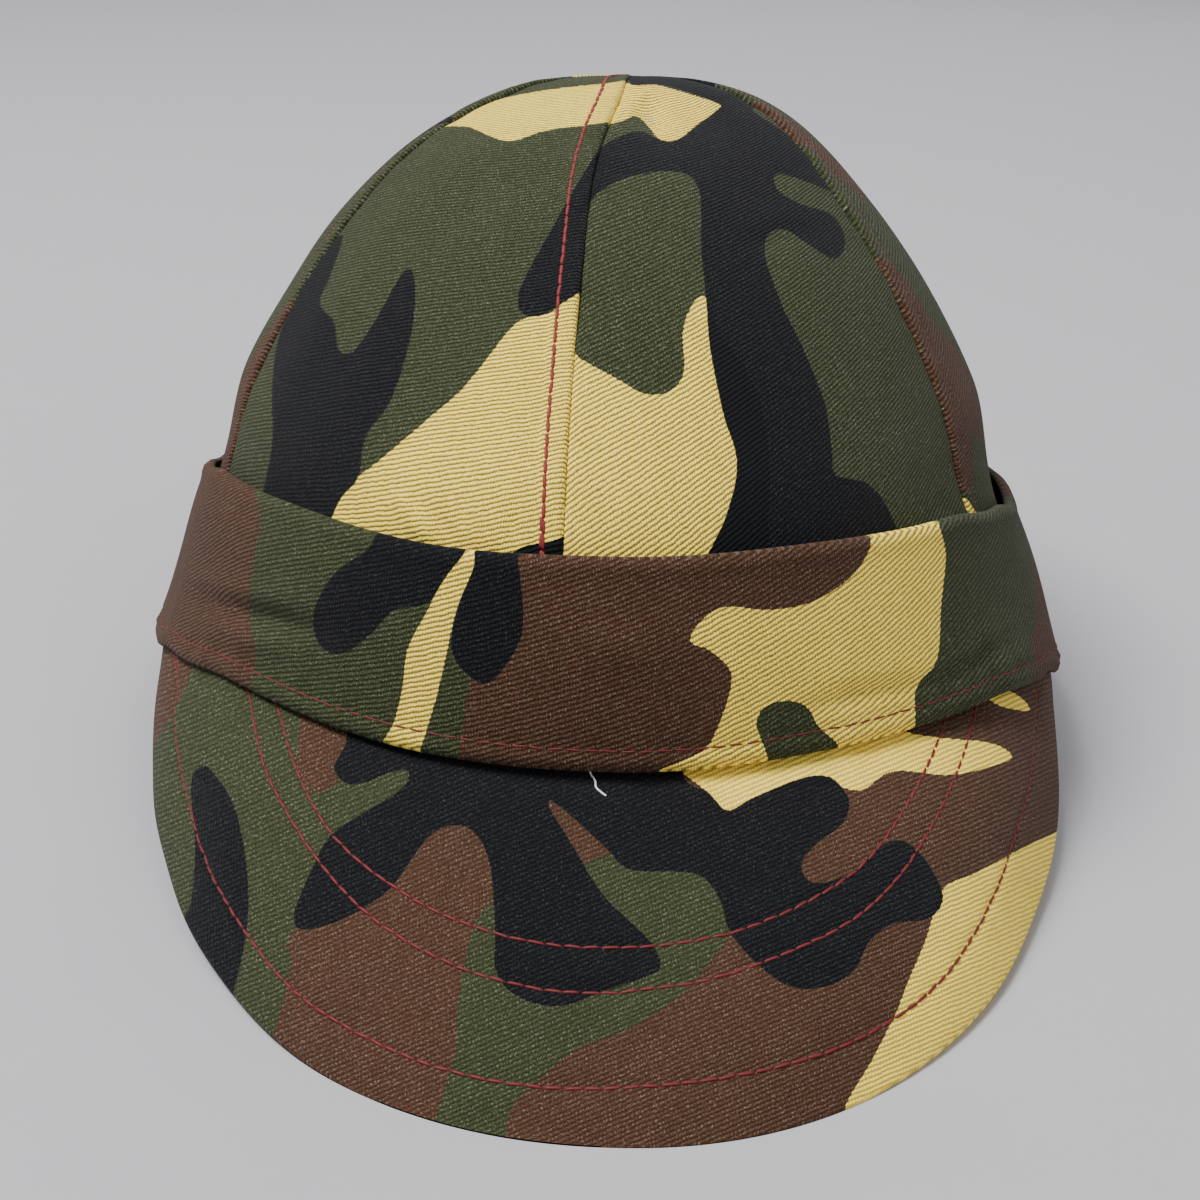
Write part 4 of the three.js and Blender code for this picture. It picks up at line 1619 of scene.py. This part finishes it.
@dataclass(frozen=True)
class TwillFinish:
    """Printed cotton twill: diagonal ribs of short yarn floats with painted shade in their grooves and
    painted light on their crests, pale flecks and four inks.
    """

    name: str
    brown: Colour = (0.071, 0.0312, 0.0157, 1)
    green: Colour = (0.0375, 0.0455, 0.0165, 1)
    cream: Colour = (0.97, 0.715, 0.11, 1)
    black: Colour = (0.0039, 0.0043, 0.0067, 1)
    fleck_tint: Colour = (0.36, 0.36, 0.29, 1)
    reverse_tint: Colour = (0.5, 0.46, 0.36, 1)
    rib: float = 0.75
    float_length: float = 0.62
    print_edge: float = 0.12
    fleck: float = 0.3
    bump: float = 0.0002
    # How strong the painted shade in the ribs' grooves and the painted light on their crests are; the
    # cream gets more.
    rib_shade: float = 0.85
    cream_rib_shade: float = 0.45
    reverse_pale: float = 0.42

    def build(self) -> bpy.types.Material:
        """Makes the cloth's material.

        Returns:
            The material.
        """
        g = Graph(self.name)
        place = g.attribute("cloth", "Vector")
        parts = g.node("ShaderNodeSeparateXYZ", {}, {0: place})
        across, along, warp = (Value(g, parts.outputs[k]) for k in range(3))
        drift = (g.noise(place, 0.35, 1.0) - 0.5) * 0.4 + (g.noise(place, 2.0, 2.0) - 0.5) * 0.3
        rib = (across + drift).wave(self.rib).math("POWER", 0.7)
        floats = (warp + along * 0.3 + drift).wave(self.float_length)
        fuzz = g.noise(place, 3.0, 3.0)
        cream = (g.attribute("cream") * 6.0).clamped()
        black = (g.attribute("black") * 6.0).clamped()
        rough = 1.25 - cream * 0.65
        weave = (rib * (floats * 0.45 + 0.55) + (fuzz - 0.5) * rough).clamped()
        ragged = (weave - 0.5) * 0.1 + (g.noise(place, 1.4, 2.0) - 0.5) * 0.3
        colour = g.plain(self.brown)
        for ink in ("green", "cream", "black"):
            mask = ((g.attribute(ink) + ragged) * (1 / self.print_edge) + 0.5).clamped()
            colour = g.mix(mask, colour, getattr(self, ink))
        flecks = ((fuzz - 0.52) * 5.0).clamped() * (rib * 0.7 + 0.3)
        flecked = flecks * self.fleck * (1 - cream * 0.8) * (1 - black * 0.72)
        colour = g.mix(flecked, colour, self.fleck_tint)
        colour = g.mix(g.attribute("reverse") * self.reverse_pale, colour, self.reverse_tint)
        mottle = g.noise(place, 0.12, 3.0) * 0.2 + 0.9
        # The colour is darkened in the weave's grooves and lightened on its crests by the weave height
        # that the bump also uses: painted shade and painted light.
        depth = self.rib_shade + cream * self.cream_rib_shade
        colour = g.scaled(colour, ((weave - 0.55) * depth + 1.0) * mottle)
        return g.surface(
            {
                "Base Color": colour,
                "Roughness": 0.95 - weave * 0.07,
                "Normal": g.bump(weave, self.bump, 1.0),
                "Specular IOR Level": 0.14,
                "Sheen Weight": 0.04,
                "Sheen Roughness": 0.5,
            }
        )


@dataclass(frozen=True)
class ThreadFinish:
    """Sewing thread with a fine twist."""

    name: str
    colour: Colour
    shade: float = 0.35
    twist: float = 2600.0
    bump: float = 0.00005

    def build(self) -> bpy.types.Material:
        """Makes the thread's material.

        Returns:
            The material.
        """
        g = Graph(self.name)
        grain = g.noise(g.place(), self.twist, 1.0)
        colour = g.scaled(g.plain(self.colour), grain * self.shade + (1 - self.shade / 2))
        normal = g.bump(grain, self.bump, 0.5)
        return g.surface({"Base Color": colour, "Roughness": 0.6 + grain * 0.1, "Normal": normal})


@dataclass(frozen=True)
class Lamp:
    """A soft rectangular lamp that looks at the cap, in metres and watts."""

    name: str
    place: tuple[float, float, float]
    side: float
    power: float
    tint: tuple[float, float, float] = (1.0, 1.0, 1.0)

    def build(self, aim: np.ndarray) -> None:
        """Makes the lamp, turned toward a point."""
        data = bpy.data.lights.new(self.name, "AREA")
        data.shape = "SQUARE"
        data.size = self.side
        data.energy = self.power
        data.color = self.tint
        lamp = bpy.data.objects.new(self.name, data)
        back = unit(np.array(self.place) - aim)
        right = unit(np.cross([0.0, 0.0, 1.0], back))
        turn = Matrix((right, np.cross(back, right), back)).transposed().to_4x4()
        lamp.matrix_world = Matrix.Translation(self.place) @ turn
        bpy.context.scene.collection.objects.link(lamp)


@dataclass(frozen=True)
class Studio:
    """A plain pale floor under soft studio lights."""

    floor_half: float = 6.0
    floor_cells: int = 8
    floor_colour: Colour = (0.445, 0.442, 0.462, 1)
    paper_grain: float = 60.0
    paper_shade: float = 0.03
    air: Colour = (0.80, 0.81, 0.84, 1)
    air_strength: float = 0.48
    aim: tuple[float, float, float] = (0.0, 0.0, 0.05)
    lamps: tuple[Lamp, ...] = (
        Lamp("key_lamp", (-0.8, -0.25, 1.6), 0.8, 47.0),
        Lamp("fill_lamp", (1.0, -0.9, 1.2), 1.2, 8.0),
        Lamp("back_lamp", (0.3, 1.4, 1.1), 1.0, 9.0),
    )

    def build(self) -> None:
        """Makes the floor, the lamps and the soft light of the air."""
        world = bpy.data.worlds.new("studio_air")
        world.use_nodes = True
        air = world.node_tree.nodes["Background"]
        air.inputs["Color"].default_value = self.air
        air.inputs["Strength"].default_value = self.air_strength
        bpy.context.scene.world = world
        g = Graph("floor_paper")
        grain = g.noise(g.place(), self.paper_grain, 3.0)
        shade = grain * self.paper_shade + (1 - self.paper_shade / 2)
        paper = g.surface({"Base Color": g.scaled(g.plain(self.floor_colour), shade), "Roughness": 0.8})
        line = np.linspace(-self.floor_half, self.floor_half, self.floor_cells + 1)
        points = np.array([(x, y, 0.0) for x in line for y in line])
        size = self.floor_cells + 1
        corners = ((0, 0), (1, 0), (1, 1), (0, 1))
        cells = [(i, j) for i in range(self.floor_cells) for j in range(self.floor_cells)]
        faces = [[(i + a) * size + j + b for a, b in corners] for i, j in cells]
        floor = mesh_object("floor", points, faces)
        floor.data.materials.append(paper)
        for lamp in self.lamps:
            lamp.build(np.array(self.aim))


def crown_panels() -> list[CrownPanel]:
    """The six panels in order round the cap, with their cut and their print."""
    black, cream, brown = Ink.BLACK, Ink.CREAM, Ink.BROWN
    return [
        CrownPanel(
            "panel_front_left", -60, (Side.TO,), 13.0,
            seen=(
                (cream, "cream_wedge"), (cream, "cream_top_left"), (black, "black_fork"),
                (black, "black_by_seam"), (black, "black_band_corner"),
            ),
            creases=(
                Crease(((392, 492), (408, 512), (424, 532), (438, 556)), 8, 0.8),
                Crease(((418, 494), (432, 512), (446, 534), (456, 556)), 7, -0.7),
                Crease(((505, 505), (512, 525), (516, 556)), 8, -0.4),
            ),
        ),
        CrownPanel(
            "panel_front_right", 0, (), 27.0,
            seen=(
                (cream, "cream_front_right"), (cream, "cream_top_right"), (black, "black_trunk"),
                (black, "black_top"),
            ),
            creases=(
                Crease(((640, 96), (650, 112), (662, 134)), 14, -1.3),
                Crease(((742, 250), (780, 236), (816, 230)), 12, -0.5),
            ),
        ),
        CrownPanel(
            "panel_side_right", 60, (Side.FROM,), 24.0,
            stamps=(
                Stamp(brown, "wide_leaf", (-28, 55), 90, 0.7),
                Stamp(brown, "wide_leaf", (22, 18), 20, 1.2),
                Stamp(brown, "black_blob", (-12, 102), 70, 0.9),
                Stamp(cream, "cream_drop", (-37, 26), 0, 1.0),
                Stamp(cream, "cream_band_right", (14, 78), 35, 0.75),
                Stamp(black, "black_star", (12, 48), 95, 0.62),
                Stamp(black, "wide_leaf", (0, 130), 40, 0.62),
            ),
        ),
        CrownPanel(
            "panel_back_right", 120, (Side.FROM,), 18.0,
            stamps=(
                Stamp(brown, "wide_leaf", (-18, 44), 130, 1.35),
                Stamp(cream, "cream_wedge", (22, 46), 140, 0.75),
                Stamp(black, "black_fork", (2, 70), 30, 0.95),
                Stamp(black, "black_star", (-6, 24), 190, 0.6),
            ),
        ),
        CrownPanel(
            "panel_back_left", -180, (Side.FROM, Side.TO), 26.0,
            stamps=(
                Stamp(brown, "long_leaf", (14, 30), 15, 1.3),
                Stamp(brown, "wide_leaf", (-20, 82), 70, 0.9),
                Stamp(cream, "cream_band_right", (-20, 52), 200, 0.85),
                Stamp(black, "black_star", (10, 66), -60, 0.6),
                Stamp(black, "black_blob", (-26, 24), 100, 1.1),
            ),
        ),
        CrownPanel(
            "panel_side_left", -120, (Side.TO,), 15.0,
            seen=((cream, "cream_behind_apex"),),
            stamps=(
                Stamp(brown, "long_leaf", (28, 36), 80, 1.1),
                Stamp(brown, "long_leaf", (-18, 70), 100, 1.0),
                Stamp(cream, "cream_tongue", (-14, 48), 160, 0.95),
                Stamp(black, "black_fork", (-22, 26), 65, 0.9),
                Stamp(black, "black_blob", (6, 94), 10, 1.0),
            ),
        ),
    ]


def turned_band() -> TurnedBand:
    """The band, with its print."""
    black, cream, green = Ink.BLACK, Ink.CREAM, Ink.GREEN
    return TurnedBand(
        stamps=(
            Stamp(green, "wide_leaf", (190, 12), 8, 1.0),
            Stamp(cream, "cream_tongue", (225, 10), 25, 1.0),
            Stamp(black, "black_star", (262, 14), 4, 0.55),
            Stamp(green, "long_leaf", (-185, 12), 170, 1.0),
            Stamp(black, "black_fork", (-222, 16), 80, 0.85),
            Stamp(cream, "cream_strip", (-255, 12), 30, 1.0),
            Stamp(green, "wide_leaf", (-285, 14), 0, 0.8),
        ),
        seen=(
            (green, "band_green"), (cream, "cream_band_right"), (green, "green_band_end"),
            (green, "green_dot"), (cream, "cream_strip"), (black, "black_blob"), (black, "black_drop"),
        ),
        creases=(
            Crease(((180, 592), (240, 610), (285, 622), (330, 642)), 10, -1.7),
            Crease(((190, 576), (240, 590), (290, 600), (340, 612)), 12, 0.7),
            Crease(((200, 622), (250, 640), (300, 656)), 10, 0.9),
            Crease(((800, 712), (850, 697), (905, 686), (935, 680)), 9, -1.2),
            Crease(((930, 686), (975, 666), (1020, 636)), 10, -0.9),
            Crease(((560, 640), (620, 648), (680, 650)), 26, 0.7),
        ),
    )


def soft_bill() -> SoftBill:
    """The bill, with its print."""
    black, cream, green, brown = Ink.BLACK, Ink.CREAM, Ink.GREEN, Ink.BROWN
    return SoftBill(
        over_seen=(
            (green, "bill_green_side"), (brown, "brown_knob"), (green, "bill_green_middle"),
            (cream, "cream_tongue"), (cream, "cream_tail"), (cream, "cream_bill_edge"),
            (black, "black_star"), (black, "black_oval"),
        ),
        under_stamps=(
            Stamp(brown, "long_leaf", (-42, -14), 20, 1.3),
            Stamp(brown, "wide_leaf", (52, 4), 60, 1.0),
            Stamp(cream, "cream_tongue", (0, -30), 0, 0.9),
            Stamp(black, "black_fork", (26, -16), 100, 0.8),
            Stamp(black, "black_blob", (-62, 14), 0, 1.1),
        ),
    )


def sew_crown(
    panels: list[CrownPanel],
    grids: list[ClothGrid],
    shape: CapShape,
    thread: bpy.types.Material,
    sunk_thread: bpy.types.Material,
) -> None:
    """Sews the topstitching on every welt of the crown.

    Args:
        panels: the panels.
        grids: their outer nets, in the same order.
        shape: the cap's sizes.
        thread: the material of the front seam's thread, a lighter copy of the one red thread with painted
            light.
        sunk_thread: the material of the thread that lies deep in the other welts, a darker copy of the
            one red thread with painted shade.
    """
    front_style = StitchStyle(length=2.3, gap=0.0, thickness=0.62, sink=0.06)
    front = Stitching("front_seam_stitches", front_style)
    sunk = Stitching("seam_stitches", StitchStyle(length=2.0, thickness=0.26, stand=0.0))
    for number, (panel, grid) in enumerate(zip(panels, grids)):
        in_front = panel.name == "panel_front_left"
        for side in panel.welts:
            top = grid.flat[0, -1, 1]
            spots = panel.seam_spots(grid, side, panel.welt.stitch_from_seam, 20.0, top - 2.0)
            (front if in_front else sunk).sew(grid, spots, 11 + number)
        if in_front:
            doubled = panel.seam_spots(grid, Side.TO, panel.welt.stitch_from_seam + 0.3, 22.0, 32.0)
            front.sew(grid, doubled, 40)
    front.build(shape, thread)
    sunk.build(shape, sunk_thread)


def sew_band(band: TurnedBand, grid: ClothGrid, shape: CapShape, thread: bpy.types.Material) -> None:
    """Sews the row of stitches round the band."""
    stitching = Stitching("band_stitches", StitchStyle(gap=0.2, thickness=0.3, stand=0.0))
    stitching.sew(grid, band.stitch_spots(grid), 3)
    stitching.build(shape, thread)


def sew_bill(
    rows: list[np.ndarray], grid: ClothGrid, shape: CapShape, thread: bpy.types.Material
) -> None:
    """Sews the rows of stitches on the bill."""
    stitching = Stitching("bill_stitches", StitchStyle())
    for number, spots in enumerate(rows):
        stitching.sew(grid, spots, 21 + number)
    stitching.build(shape, thread)


def main() -> None:
    """Builds the camera, the cap's pieces and the studio, in that order."""
    logging.basicConfig(level=logging.INFO, format="%(name)s: %(message)s")
    shape = CapShape()
    camera = PhotoCamera(shape)
    camera.build()
    red = ThreadFinish("red_thread", (0.135, 0.006, 0.0075, 1)).build()
    # The front seam's thread and the thread deep in the other welts are lighter and darker copies of the
    # one red thread: painted light and painted shade.
    lit_red = ThreadFinish("lit_red_thread", (0.2, 0.0075, 0.012, 1)).build()
    shaded_red = ThreadFinish("shaded_red_thread", (0.1, 0.012, 0.014, 1)).build()
    white = ThreadFinish("white_thread", (0.8, 0.8, 0.76, 1)).build()
    # Each piece's twill has its own strength of painted shade in the rib grooves.
    crown_twill = TwillFinish("crown_twill", rib_shade=1.1).build()
    band_twill = TwillFinish("band_twill", rib_shade=1.0).build()
    bill_twill = TwillFinish("bill_twill", rib_shade=0.7, cream_rib_shade=0.15).build()
    panels = crown_panels()
    grids = [panel.build(shape, camera, crown_twill) for panel in panels]
    sew_crown(panels, grids, shape, lit_red, shaded_red)
    band = turned_band()
    band_grid = band.build(shape, camera, band_twill)
    sew_band(band, band_grid, shape, red)
    bill_grid, bill_rows = soft_bill().build(shape, camera, bill_twill)
    sew_bill(bill_rows, bill_grid, shape, red)
    LooseThread().build(bill_grid, white)
    Studio().build()


if __name__ == "__main__":
    main()
